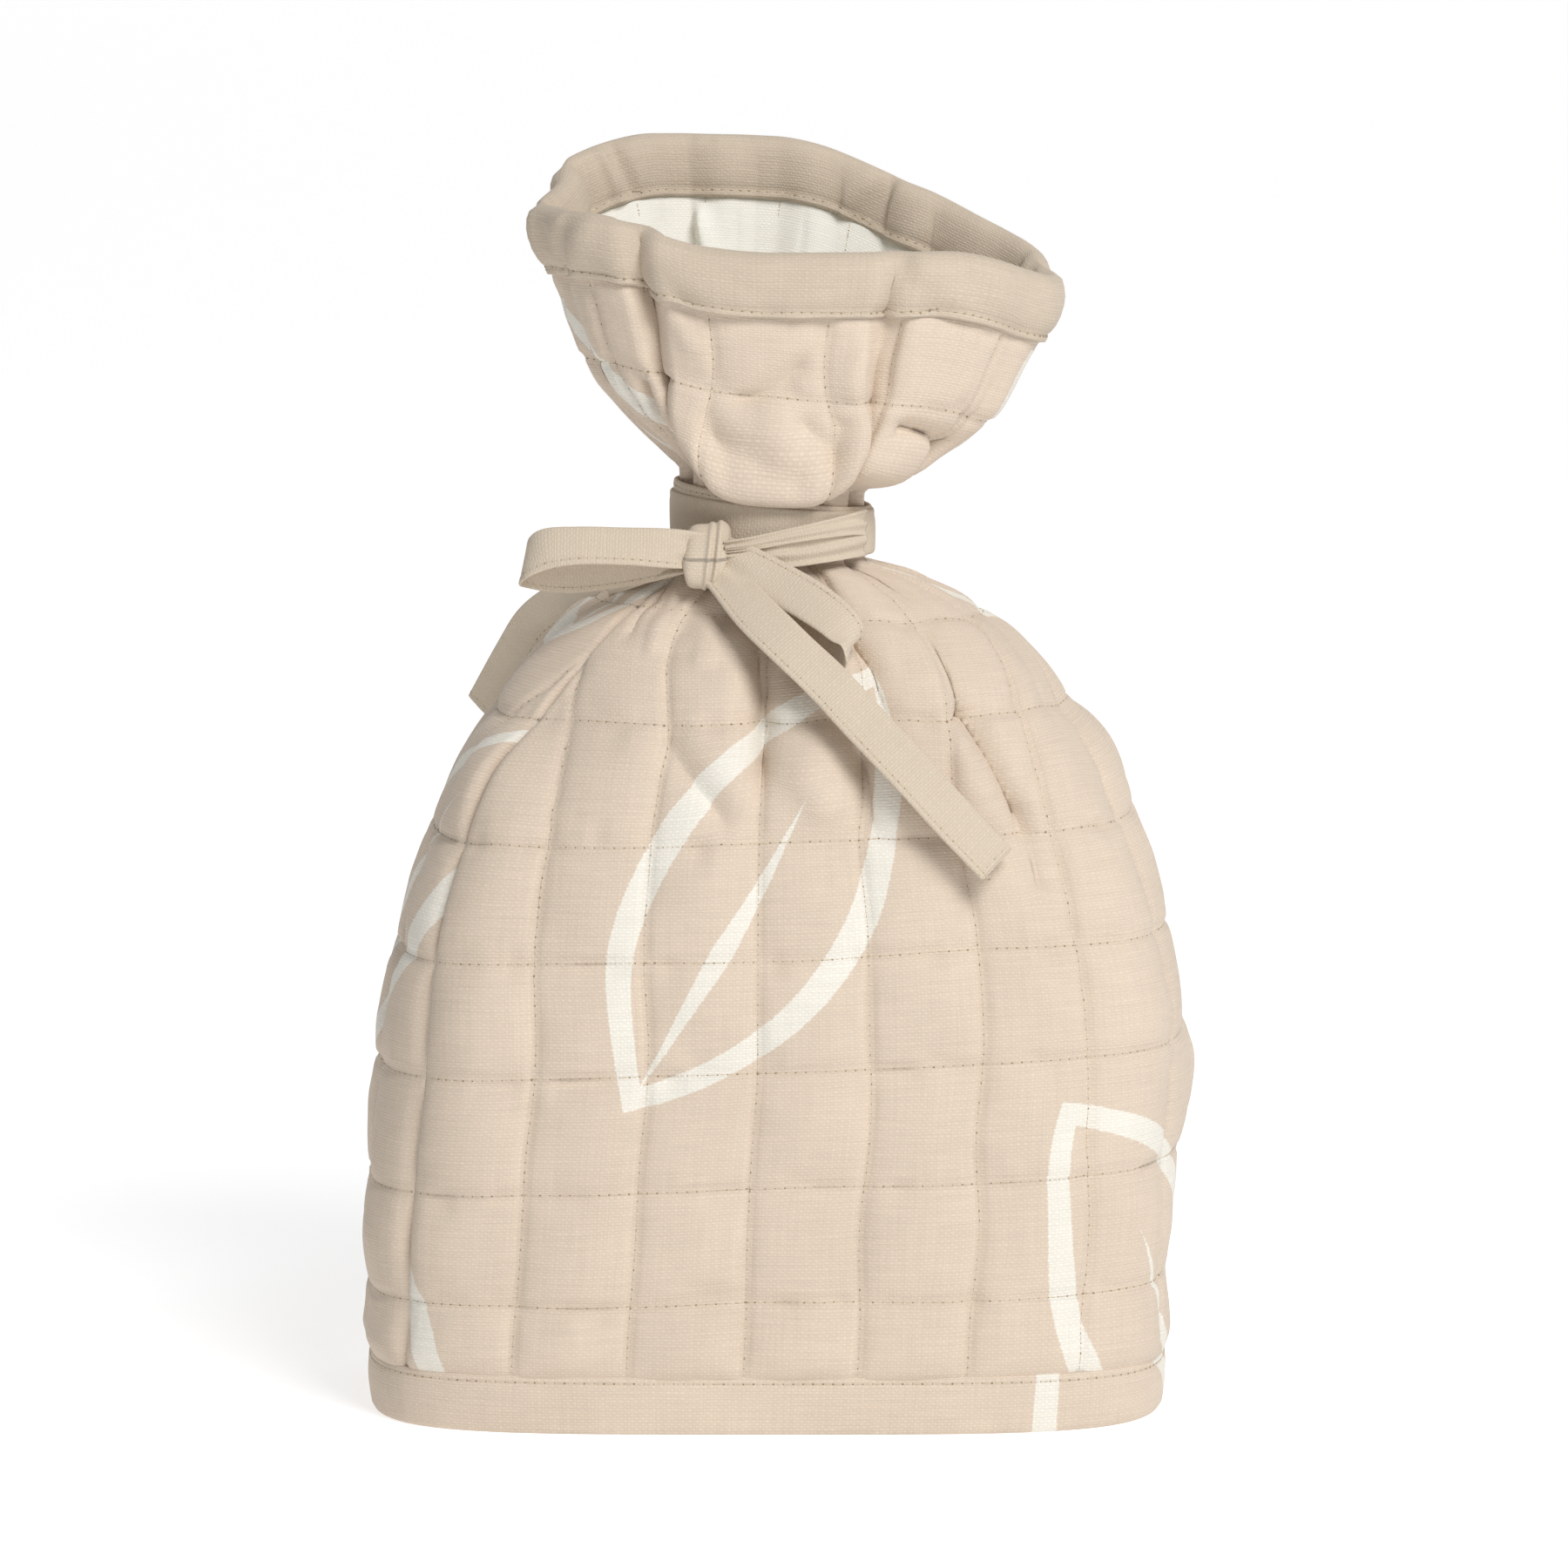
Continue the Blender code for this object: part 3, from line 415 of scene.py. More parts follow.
def surface_row(cloth, level):
    """Points on the middle of the cloth at one nominal height, for an array of cloth
    coordinates."""
    ring = ring_at(level)
    points, normals, length = plan_curve(ring)
    around = 4.0 * ring.half
    below = max(NECK_LOW - level, 0.0) / (NECK_LOW - PLEAT_FOOT)
    opened = ease((level - RUFFLE_LEVEL) / (MOUTH_SEAM - RUFFLE_LEVEL))

    inside = ease((ring.half - np.abs(cloth)) / CALM_AROUND)
    wander = WANDER_AROUND * inside * ripple(cloth * 0.9, level / 26.0, 51)
    travelled = cloth - ring.centre + wander
    total = around
    inward = np.zeros_like(cloth)
    for offset, pleats in ((0.0, FRONT_PLEATS), (2.0 * ring.half, BACK_PLEATS)):
        for pleat in pleats:
            on_seam = abs(pleat.cloth) == RINGS[-1].half
            edge = ring.half if on_seam else abs(pleat.cloth)
            centre = math.copysign(edge, pleat.cloth) + offset + pleat.drift * below
            closed = pleat.tight * ring.gather * pleat.spread
            total -= 2.0 * closed
            for lap in (-around, 0.0, around):
                apart = (cloth - centre - lap) / pleat.spread
                middle = (ring.centre - centre - lap) / pleat.spread
                step = np.clip(apart, -1.0, 1.0) - np.clip(middle, -1.0, 1.0)
                travelled = travelled - closed * step
                sharp = np.clip(1.0 - np.sqrt(apart**2 + PLEAT_ROUND) / 1.005, 0.0, 1.0) ** 2
                soft = np.cos(0.5 * math.pi * np.clip(apart, -1.0, 1.0)) ** 2
                crease = sharp + (soft - sharp) * opened
                inward += pleat_depth(pleat, level) * crease
    for bulge in BULGES:
        across = short_way(cloth, bulge.cloth, around) / bulge.wide
        up = (level - bulge.height) / bulge.tall
        inward -= bulge.out * np.exp(-(across**2) - up**2)
    inward -= fold_height(cloth, level, around)
    hang, aside = np.zeros_like(cloth), np.zeros_like(cloth)
    above_tie = ease((level - NECK_HIGH + LOBE_RISE) / (2.0 * LOBE_RISE))
    for lobe in LOBES if level > NECK_HIGH - LOBE_RISE else ():
        apart = short_way(cloth, lobe.cloth, around) / lobe.wide
        edges = above_tie * np.exp(-(np.abs(apart) ** LOBE_EDGE))
        near = edges * math.exp(-(((level - lobe.level) / lobe.tall) ** 2))
        wider = edges * math.exp(-(((level - lobe.level) / (ASIDE_TALL * lobe.tall)) ** 2))
        spread = np.sin(0.5 * math.pi * np.clip(apart / ASIDE_WIDE, -1.0, 1.0))
        inward -= lobe.out * near
        hang += lobe.down * near
        aside += lobe.aside * wider * spread

    turn = travelled / total
    wrapped = np.mod(turn, 1.0) * length[-1]
    x = np.interp(wrapped, length, points[:, 0])
    y = np.interp(wrapped, length, points[:, 1])
    out_x = np.interp(wrapped, length, normals[:, 0])
    out_y = np.interp(wrapped, length, normals[:, 1])
    x = x - out_x * inward
    y = y - out_y * inward

    if level <= NECK_HIGH:
        free = ease((level - HEM_TOP) / CALM_UP) * ease((NECK_LOW - level) / CALM_UP)
        wander = WANDER_UP * free * inside * ripple(cloth / 1.7, level / 40.0, 52)
        z = level + ring.lean * x + wander
    else:
        rise = min((level - NECK_HIGH) / (MOUTH_SEAM - NECK_HIGH), 1.0)
        seam = rim_height(turn) - (RIM - MOUTH_SEAM)
        neck = NECK_HIGH + ring.lean * x * (1.0 - rise)
        z = neck + rise * (seam - NECK_HIGH) + max(level - MOUTH_SEAM, 0.0)
        x, z = x + aside, z - hang
    return np.stack([x, y, z], axis=1)


SMALL_CLOTH, SMALL_LEVEL = 0.02, 0.4     # steps that give the cloth's directions


def around_row(cloth, level):
    """Directions along the cloth at each point of a row, not of unit length."""
    return surface_row(cloth + SMALL_CLOTH, level) - surface_row(cloth - SMALL_CLOTH, level)


def surface_rows(cloth, level):
    """Middle of the cloth and its outward normals, for one row of cloth coordinates."""
    around = around_row(cloth, level)
    up = surface_row(cloth, level + SMALL_LEVEL) - surface_row(cloth, level - SMALL_LEVEL)
    normal = np.cross(around, up)
    normal /= np.linalg.norm(normal, axis=1)[:, None]
    return surface_row(cloth, level), normal


# Relief of the quilting, in millimetres.  Each stitched line pulls a narrow dent into the
# face and puckers the cloth beside it.  A pair is how high and how wide something is, and
# the sizes that ripples are divided by are millimetres of cloth.
ROW_DENT, ROW_PUCKER = (0.60, 1.3), (1.3, 5.5)
COLUMN_DENT, COLUMN_PUCKER = (0.55, 1.3), (0.55, 4.0)
SEAM_DENT = (0.8, 1.4)
HEM_SWELL, HEM_SWELL_LEVEL = (1.2, 6.0), 1.7    # the cloth swells over the hem binding
HOLLOWS, FINE_WAVES = 0.55, 0.20
FLAT_SHARE, SWELL_SHARE = 0.45, 0.55            # of a square's height, up and down
SEAM_PLUMP = 0.12                               # squares, from flat seam to plump cloth


def hump(distance, size):
    """A soft hump of a size (high, wide), at a distance from its middle."""
    high, wide = size
    return high * np.exp(-((distance / wide) ** 2))


def quilt_height(panel_cloth, level, ring, seed):
    """How far the wadding lifts the face above its stitched lines.  The squares are
    plump across and flatter up and down, and pucker a little along the stitches."""
    rows = np.array(STITCHED_ROWS)
    if level < rows[0] or level >= rows[-1]:
        return np.zeros_like(panel_cloth)
    over_hem = level - rows[0]
    below = max(int(np.searchsorted(rows, level) - 1), 0)
    share = (level - rows[below]) / (rows[below + 1] - rows[below])
    tall = cloth_up(rows[below + 1]) - cloth_up(rows[below])
    around, up = panel_cloth * SQUARE, cloth_up(level)
    from_row = tall * min(share, 1.0 - share)
    from_column = SQUARE * np.abs(panel_cloth - np.round(panel_cloth))
    from_seam = SQUARE * (ring.half - np.abs(panel_cloth))

    upright = FLAT_SHARE + SWELL_SHARE * math.sin(math.pi * share) ** 0.5
    upright *= ease((over_hem + 3.0) / 9.0)
    across = np.abs(np.sin(math.pi * panel_cloth)) ** 0.55
    beside_seam = np.clip((ring.half - np.abs(panel_cloth)) / SEAM_PLUMP, 0.0, 1.0) ** 0.5
    height = ring.puff * upright * across * beside_seam

    row_dent = hump(from_row, ROW_DENT) * ease(over_hem / 6.0)
    dents = np.minimum(ripple(around / 7.0, below * 9.7 + share * 3.0, seed) - 0.05, 0.0)
    row_pucker = dents * hump(from_row, ROW_PUCKER) * ease((over_hem - 3.0) / 6.0)
    fading = np.exp(-from_column / COLUMN_PUCKER[1])
    column_pucker = COLUMN_PUCKER[0] * ripple(around / 30.0, up / 5.5, seed + 1) * fading
    hollows = ripple(around / 19.0, up / 17.0, seed + 2)
    waves = ripple(around / 8.0, up / 6.5, seed + 3)
    stitched = row_pucker + column_pucker - row_dent - hump(from_column, COLUMN_DENT)
    return (
        hump(over_hem - HEM_SWELL_LEVEL, HEM_SWELL) + height * (1.0 + 0.10 * hollows)
        + (stitched + HOLLOWS * hollows + FINE_WAVES * waves) * beside_seam
        - hump(from_seam, SEAM_DENT)
    )


def cloth_levels(low, high, step):
    """Levels from low to high that lie one step of cloth apart."""
    bottom, top = cloth_up(low), cloth_up(high)
    count = int(round((top - bottom) / step))
    return np.interp(np.linspace(bottom, top, count + 1), CLOTH_UP, LEVELS)


def grid_faces(rows, columns, wrap_rows=False, wrap_columns=False):
    """Quads over a grid whose vertices run row by row, as an array."""
    row = np.arange(rows if wrap_rows else rows - 1)[:, None]
    column = np.arange(columns if wrap_columns else columns - 1)[None, :]
    after_row, after_column = (row + 1) % rows, (column + 1) % columns
    return np.stack([
        row * columns + column,
        row * columns + after_column,
        after_row * columns + after_column,
        after_row * columns + column,
    ], axis=-1).reshape(-1, 4)


def cloth_object(name, vertices, faces, uv, materials, face_materials=None):
    """A smooth cloth piece from millimetres, with its own UV map in millimetres.  uv has
    one row for each corner of each face."""
    mesh = bpy.data.meshes.new(name)
    placed = (np.asarray(vertices) - MIDDLE) * MM
    mesh.from_pydata(placed.tolist(), [], [tuple(face) for face in faces])
    layer = mesh.uv_layers.new(name="cloth")
    layer.data.foreach_set("uv", np.asarray(uv, dtype=np.float32).ravel())
    for material in materials:
        mesh.materials.append(material)
    if face_materials is not None:
        indices = np.asarray(face_materials, dtype=np.int32)
        mesh.polygons.foreach_set("material_index", indices)
    mesh.shade_smooth()
    thing = bpy.data.objects.new(name, mesh)
    scene.collection.objects.link(thing)
    return thing


def calc(tree, operation, first, second=0.0, third=0.0):
    """One math node: its result socket."""
    made = tree.nodes.new("ShaderNodeMath")
    made.operation = operation
    for socket, value in zip(made.inputs, (first, second, third)):
        if isinstance(value, bpy.types.NodeSocket):
            tree.links.new(value, socket)
        else:
            socket.default_value = value
    return made.outputs[0]


def cloth_noise(tree, across, along, scale_across, scale_along, detail=2.0, roughness=0.5):
    """Noise from 0 to 1 over the cloth, with its own scale for each direction."""
    joined = tree.nodes.new("ShaderNodeCombineXYZ")
    tree.links.new(calc(tree, "MULTIPLY", across, scale_across), joined.inputs[0])
    tree.links.new(calc(tree, "MULTIPLY", along, scale_along), joined.inputs[1])
    noise = tree.nodes.new("ShaderNodeTexNoise")
    noise.inputs["Scale"].default_value = 1.0
    noise.inputs["Detail"].default_value = detail
    noise.inputs["Roughness"].default_value = roughness
    tree.links.new(joined.outputs[0], noise.inputs["Vector"])
    return noise.outputs[0]


def mixed(tree, share, first, second):
    """Colour between two colours or colour sockets."""
    mix = tree.nodes.new("ShaderNodeMix")
    mix.data_type = "RGBA"
    factor, colour_a, colour_b = mix.inputs[0], mix.inputs[6], mix.inputs[7]
    for socket, value in ((factor, share), (colour_a, first), (colour_b, second)):
        if isinstance(value, bpy.types.NodeSocket):
            tree.links.new(value, socket)
        elif isinstance(value, tuple):
            socket.default_value = (*value, 1.0)
        else:
            socket.default_value = value
    return mix.outputs[2]


def leaf_print(tree, across, along):
    """Share of white at each point: large plain leaf outlines in a half-drop repeat,
    each with a short vein.  The print's edge follows the threads."""
    tile_wide, tile_tall, start_up = 118.0, 240.0, 94.0
    half_length, half_width, tilt = 66.0, 29.0, math.radians(32.0)
    line, thinner = 4.2, 0.35           # half width of a line, and the share lost at its tips
    vein, vein_drop, half_vein_length = 3.0, 20.0, 46.0
    ragged_edge, edge_sharpness = 0.8, 3.0
    radius = (half_length**2 + half_width**2) / (2.0 * half_width)
    offset = radius - half_width

    def maths(*values):
        return calc(tree, *values)

    cell = maths("FLOOR", maths("DIVIDE", across, tile_wide))
    odd = maths("ABSOLUTE", maths("MODULO", cell, 2.0))
    tile_middle = maths("MULTIPLY_ADD", cell, tile_wide, 0.5 * tile_wide)
    local_x = maths("SUBTRACT", across, tile_middle)
    lifted = maths("ADD", along, start_up)
    dropped = maths("MULTIPLY_ADD", odd, 0.5 * tile_tall, lifted)
    in_tile = maths("FLOORED_MODULO", dropped, tile_tall)
    local_y = maths("SUBTRACT", in_tile, 0.5 * tile_tall)
    turn = maths("MULTIPLY_ADD", odd, -2.0 * tilt, tilt)
    cosine, sine = maths("COSINE", turn), maths("SINE", turn)
    x = maths("ADD", maths("MULTIPLY", local_x, cosine), maths("MULTIPLY", local_y, sine))
    y = maths("SUBTRACT", maths("MULTIPLY", local_y, cosine), maths("MULTIPLY", local_x, sine))

    far_side = maths("ADD", maths("ABSOLUTE", x), offset)
    squared = maths("ADD", maths("POWER", far_side, 2.0), maths("POWER", y, 2.0))
    to_outline = maths("ABSOLUTE", maths("SUBTRACT", maths("SQRT", squared), radius))
    share_up = maths("DIVIDE", maths("ABSOLUTE", y), half_length)
    half_line = maths("MULTIPLY_ADD", share_up, -thinner * line, line)
    outline = maths("SUBTRACT", half_line, to_outline)

    from_vein = maths("ABSOLUTE", maths("ADD", y, vein_drop))
    vein_share = maths("DIVIDE", from_vein, half_vein_length)
    half_vein = maths("MULTIPLY", maths("SUBTRACT", 1.0, vein_share), vein)
    middle = maths("SUBTRACT", half_vein, maths("ABSOLUTE", x))

    ragged = maths("SUBTRACT", cloth_noise(tree, across, along, 0.9, 1.3, 1.0), 0.5)
    inside = maths("MULTIPLY_ADD", ragged, ragged_edge, maths("MAXIMUM", outline, middle))
    return maths("MULTIPLY_ADD", inside, edge_sharpness, 0.5)


PRINT_WHITE = (0.80, 0.76, 0.68)
BEIGE = (0.668, 0.556, 0.446)
INNER_WHITE = (0.90, 0.875, 0.80)
PAINTED_THREAD_SHADE, MEAN_THREAD = 0.17, 0.095      # painted shade: how much lighter the tops of the threads are than the valleys between them
WOBBLE, SWAY = 0.9, 1.1                     # millimetres that threads wander up and across
WEFT_OVER, WARP_OVER = (0.42, 0.58), (-0.30, 0.30)      # height: by the crossing, and mean


def canvas(name, colour, printed=False, thread=(0.93, 0.77), relief=0.12, uneven=0.13):
    """Plain-woven cotton: crossing threads with slubs, in millimetres of the cloth's UV
    map.  Every thread runs over one and under the next.  thread: width of a warp and of a
    weft thread.  relief: height of the weave.  uneven: how much its tone varies."""
    material = bpy.data.materials.new(name)
    material.use_nodes = True
    tree = material.node_tree
    shader = tree.nodes["Principled BSDF"]
    shader.inputs["Roughness"].default_value = 0.92
    shader.inputs["Specular IOR Level"].default_value = 0.25
    shader.inputs["Sheen Weight"].default_value = 0.12
    shader.inputs["Sheen Roughness"].default_value = 0.6

    place = tree.nodes.new("ShaderNodeUVMap")
    place.uv_map = "cloth"
    apart = tree.nodes.new("ShaderNodeSeparateXYZ")
    tree.links.new(place.outputs[0], apart.inputs[0])
    across, along = apart.outputs[0], apart.outputs[1]

    def thread_wave(place, wander, wandering, wide):
        """Sine across threads that wander, and its round height from 0 to 1."""
        centred = calc(tree, "SUBTRACT", wandering, 0.5)
        moved = calc(tree, "MULTIPLY_ADD", centred, wander, place)
        wave = calc(tree, "SINE", calc(tree, "MULTIPLY", moved, math.pi / wide))
        return wave, calc(tree, "POWER", calc(tree, "ABSOLUTE", wave), 0.6)

    wobbling = cloth_noise(tree, across, along, 0.10, 0.6)
    swaying = cloth_noise(tree, across, along, 0.7, 0.12)
    wave_up, weft_round = thread_wave(along, WOBBLE, wobbling, thread[1])
    wave_across, warp_round = thread_wave(across, SWAY, swaying, thread[0])
    crossing = calc(tree, "MULTIPLY", wave_across, wave_up)
    weft = calc(tree, "MULTIPLY", weft_round, calc(tree, "MULTIPLY_ADD", crossing, *WEFT_OVER))
    warp = calc(tree, "MULTIPLY", warp_round, calc(tree, "MULTIPLY_ADD", crossing, *WARP_OVER))
    threads = calc(tree, "MAXIMUM", weft, warp)

    slub_weft = cloth_noise(tree, across, along, 0.06, 1.25, 3.0, 0.6)
    slub_warp = cloth_noise(tree, across, along, 1.05, 0.05, 2.0, 0.6)
    patches = cloth_noise(tree, across, along, 0.035, 0.03, 2.0)
    # Painted shade of the weave: the tops of the threads are painted lighter and the valleys
    # between them darker.  The slubs and patches below are the yarn's own uneven tone.
    tone = calc(tree, "MULTIPLY", threads, PAINTED_THREAD_SHADE)
    tone = calc(tree, "MULTIPLY_ADD", slub_weft, uneven * 1.5, tone)
    tone = calc(tree, "MULTIPLY_ADD", slub_warp, uneven, tone)
    tone = calc(tree, "MULTIPLY_ADD", patches, uneven * 1.1, tone)
    tone = calc(tree, "ADD", tone, 1.0 - MEAN_THREAD - uneven * 1.80)

    dyed = colour
    if printed:
        share = leaf_print(tree, across, along)
        covered = calc(tree, "MULTIPLY_ADD", threads, 0.35, calc(tree, "SUBTRACT", share, 0.12))
        clamp = tree.nodes.new("ShaderNodeClamp")
        tree.links.new(covered, clamp.inputs[0])
        dyed = mixed(tree, clamp.outputs[0], colour, PRINT_WHITE)
    shade = tree.nodes.new("ShaderNodeVectorMath")
    shade.operation = "SCALE"
    if isinstance(dyed, tuple):
        shade.inputs[0].default_value = dyed
    else:
        tree.links.new(dyed, shade.inputs[0])
    tree.links.new(tone, shade.inputs["Scale"])
    tree.links.new(shade.outputs[0], shader.inputs["Base Color"])

    bump = tree.nodes.new("ShaderNodeBump")
    bump.inputs["Strength"].default_value = 1.0
    bump.inputs["Distance"].default_value = relief * MM
    tree.links.new(calc(tree, "MULTIPLY_ADD", slub_weft, 0.5, threads), bump.inputs["Height"])
    tree.links.new(bump.outputs[0], shader.inputs["Normal"])
    return material


printed_canvas = canvas("printed_canvas", BEIGE, printed=True)
inner_cotton = canvas("inner_cotton", INNER_WHITE, thread=(0.5, 0.45), relief=0.07, uneven=0.05)


ROW_STEP, COLUMN_STEP = 1.7, 1.0 / 20    # fineness of a panel: millimetres, squares
KEPT_SQUARES = 3                    # squares each side of the middle that keep their width
LOWEST_FACE = -0.3                  # a dent goes no deeper below the middle of the cloth
SEAM_SHARE = 0.3                    # share of the clearance that a panel's edge draws back


def panel_levels():
    """Levels of a panel's rows, with one on each stitched row."""
    stops = [PANEL_FOOT, *STITCHED_ROWS, CLOTH_TOP]
    runs = [cloth_levels(low, high, ROW_STEP)[:-1] for low, high in zip(stops, stops[1:])]
    return np.concatenate([*runs, [CLOTH_TOP]])


def panel_columns(half):
    """Cloth coordinates of a panel's columns.  The middle ones follow the stitched lines,
    and the outer ones draw together as the seams cut the panel narrower."""
    base = np.arange(-BASE_SQUARES, BASE_SQUARES + 0.5 * COLUMN_STEP, COLUMN_STEP)
    outer = np.clip(np.abs(base) - KEPT_SQUARES, 0.0, None)
    share = (half - KEPT_SQUARES) / (BASE_SQUARES - KEPT_SQUARES)
    return np.sign(base) * (np.abs(base) - outer + outer * share)


def face_row(panel_cloth, offset_halves, level, seed):
    """Face of a panel at one level: its points, the middle of its cloth and the outward
    normals.  offset_halves: place of the panel on the sleeve, in half panels."""
    ring = ring_at(level)
    middle, normal = surface_rows(panel_cloth + offset_halves * ring.half, level)
    lift = 0.5 * ring.core + quilt_height(panel_cloth, level, ring, seed)
    return middle + normal * np.maximum(lift, LOWEST_FACE)[:, None], middle, normal


def quilted_panel(name, node, offset_halves, seed):
    """One panel: face and inner side, closed along its four edges."""
    rows, uv_rows = [], []
    for level in panel_levels():
        ring = ring_at(level)
        columns = panel_columns(ring.half)
        cloth = columns + offset_halves * ring.half
        face, middle, normal = face_row(columns, offset_halves, level, seed)
        inner = middle - normal * 0.5 * ring.core
        along = around_row(cloth, level)
        along /= np.linalg.norm(along, axis=1)[:, None]
        for side in (face, inner):
            side[0] += along[0] * SEAM_SHARE * CLEARANCE
            side[-1] -= along[-1] * SEAM_SHARE * CLEARANCE
        rows.append(np.vstack([face, inner[::-1]]))
        place = np.stack([cloth * SQUARE, np.full_like(cloth, cloth_up(level))], axis=1)
        uv_rows.append(np.vstack([place, place[::-1]]))
    count = len(rows[0])
    half_count = count // 2
    faces = grid_faces(len(rows), count, wrap_columns=True)
    inner_side = (faces[:, 0] % count >= half_count - 1).astype(int)
    caps = []
    for first, order in ((0, -1), ((len(rows) - 1) * count, 1)):
        for column in range(half_count - 1):
            corners = (
                first + column, first + column + 1,
                first + count - 2 - column, first + count - 1 - column,
            )
            caps.append(corners[::order])
    faces = np.vstack([faces, caps])
    inner_side = np.concatenate([inner_side, np.ones(len(caps), dtype=int)])
    uv = np.vstack(uv_rows)[faces.ravel()]
    cottons = [printed_canvas, inner_cotton]
    thing = cloth_object(name, np.vstack(rows), faces, uv, cottons, inner_side)
    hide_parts(node)
    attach(thing, "root")
    return thing


FRONT, BACK = (0.0, 3), (2.0, 11)   # place of each panel in half panels, and its seed
front_panel = quilted_panel("front_quilt", "front_panel", *FRONT)
back_panel = quilted_panel("back_quilt", "back_panel", *BACK)


# ---- Quilting stitches ---------------------------------------------------------------
# Cotton thread holds the layers along every line of the quilting.  Each stitch is a short
# plump bead that pulls into a needle hole at both of its ends; each hole is a dark blob of
# painted shade.
STITCH_PITCH, STITCH_LENGTH, THREAD, HOLE = 2.6, 1.9, 0.42, 0.36
STITCH_SIZES = (0.65, 1.15)         # no two stitches are pulled equally tight


def plain(name, colour, roughness=0.85):
    """One even colour, for thread and needle holes."""
    material = bpy.data.materials.new(name)
    material.use_nodes = True
    shader = material.node_tree.nodes["Principled BSDF"]
    shader.inputs["Base Color"].default_value = (*colour, 1.0)
    shader.inputs["Roughness"].default_value = roughness
    return material


def stitching_tree():
    """Node group that sews beads, and dark blobs of painted shade at the needle holes, along
    loose edges.
    """
    tree = bpy.data.node_groups.new("sewing", "GeometryNodeTree")
    sockets = {}
    for label, kind in (
        ("Lines", "NodeSocketGeometry"), ("Pitch", "NodeSocketFloat"),
        ("Bead", "NodeSocketVector"), ("Hole", "NodeSocketVector"), ("Seed", "NodeSocketInt"),
        ("Thread", "NodeSocketMaterial"), ("Shadow", "NodeSocketMaterial"),
    ):
        made = tree.interface.new_socket(label, in_out="INPUT", socket_type=kind)
        sockets[label] = made.identifier
    tree.interface.new_socket("Sewn", in_out="OUTPUT", socket_type="NodeSocketGeometry")

    def node(kind, **values):
        made = tree.nodes.new(kind)
        for key, value in values.items():
            setattr(made, key, value)
        return made

    link = tree.links.new
    given = node("NodeGroupInput")
    curve = node("GeometryNodeMeshToCurve")
    link(given.outputs["Lines"], curve.inputs[0])
    dots = node("GeometryNodeCurveToPoints", mode="LENGTH")
    link(curve.outputs[0], dots.inputs["Curve"])
    link(given.outputs["Pitch"], dots.inputs["Length"])
    out = node("GeometryNodeInputNamedAttribute", data_type="FLOAT_VECTOR")
    out.inputs["Name"].default_value = "out"
    along = node("FunctionNodeAlignRotationToVector", axis="X")
    link(dots.outputs["Tangent"], along.inputs["Vector"])
    upright = node("FunctionNodeAlignRotationToVector", axis="Z", pivot_axis="X")
    link(along.outputs[0], upright.inputs["Rotation"])
    link(out.outputs[0], upright.inputs["Vector"])

    uneven = node("FunctionNodeRandomValue", data_type="FLOAT")
    limits = [socket for socket in uneven.inputs if socket.type == "VALUE"]
    for socket, value in zip(limits, STITCH_SIZES):
        socket.default_value = value
    link(given.outputs["Seed"], uneven.inputs["Seed"])
    size = [socket for socket in uneven.outputs if socket.type == "VALUE"][0]

    join = node("GeometryNodeJoinGeometry")
    kinds = (("Bead", 6, 4, "Thread"), ("Hole", 5, 3, "Shadow"))
    for label, segments, rings, material in kinds:
        ball = node("GeometryNodeMeshUVSphere")
        ball.inputs["Segments"].default_value = segments
        ball.inputs["Rings"].default_value = rings
        ball.inputs["Radius"].default_value = 1.0
        shaped = node("GeometryNodeTransform")
        link(ball.outputs[0], shaped.inputs["Geometry"])
        link(given.outputs[label], shaped.inputs["Scale"])
        placed = dots.outputs["Points"]
        if label == "Hole":
            half_step = node("ShaderNodeVectorMath", operation="SCALE")
            link(dots.outputs["Tangent"], half_step.inputs[0])
            halved = node("ShaderNodeMath", operation="MULTIPLY")
            link(given.outputs["Pitch"], halved.inputs[0])
            halved.inputs[1].default_value = 0.5
            link(halved.outputs[0], half_step.inputs["Scale"])
            between = node("GeometryNodeSetPosition")
            link(placed, between.inputs["Geometry"])
            link(half_step.outputs[0], between.inputs["Offset"])
            placed = between.outputs[0]
        stamp = node("GeometryNodeInstanceOnPoints")
        link(placed, stamp.inputs["Points"])
        link(shaped.outputs[0], stamp.inputs["Instance"])
        link(upright.outputs[0], stamp.inputs["Rotation"])
        link(size, stamp.inputs["Scale"])
        real = node("GeometryNodeRealizeInstances")
        link(stamp.outputs[0], real.inputs[0])
        paint = node("GeometryNodeSetMaterial")
        link(real.outputs[0], paint.inputs["Geometry"])
        link(given.outputs[material], paint.inputs["Material"])
        link(paint.outputs[0], join.inputs[0])
    sewn = node("NodeGroupOutput")
    link(join.outputs[0], sewn.inputs[0])
    return tree, sockets


SEWING, SEWING_SOCKETS = stitching_tree()
SEWN_THREAD = plain("sewing_thread", (0.60, 0.50, 0.37))
# Painted shade: the dark colour of the needle holes, where the thread pulls into the cloth.
NEEDLE_HOLE_SHADE = plain("needle_hole_shade", (0.31, 0.24, 0.15), 1.0)


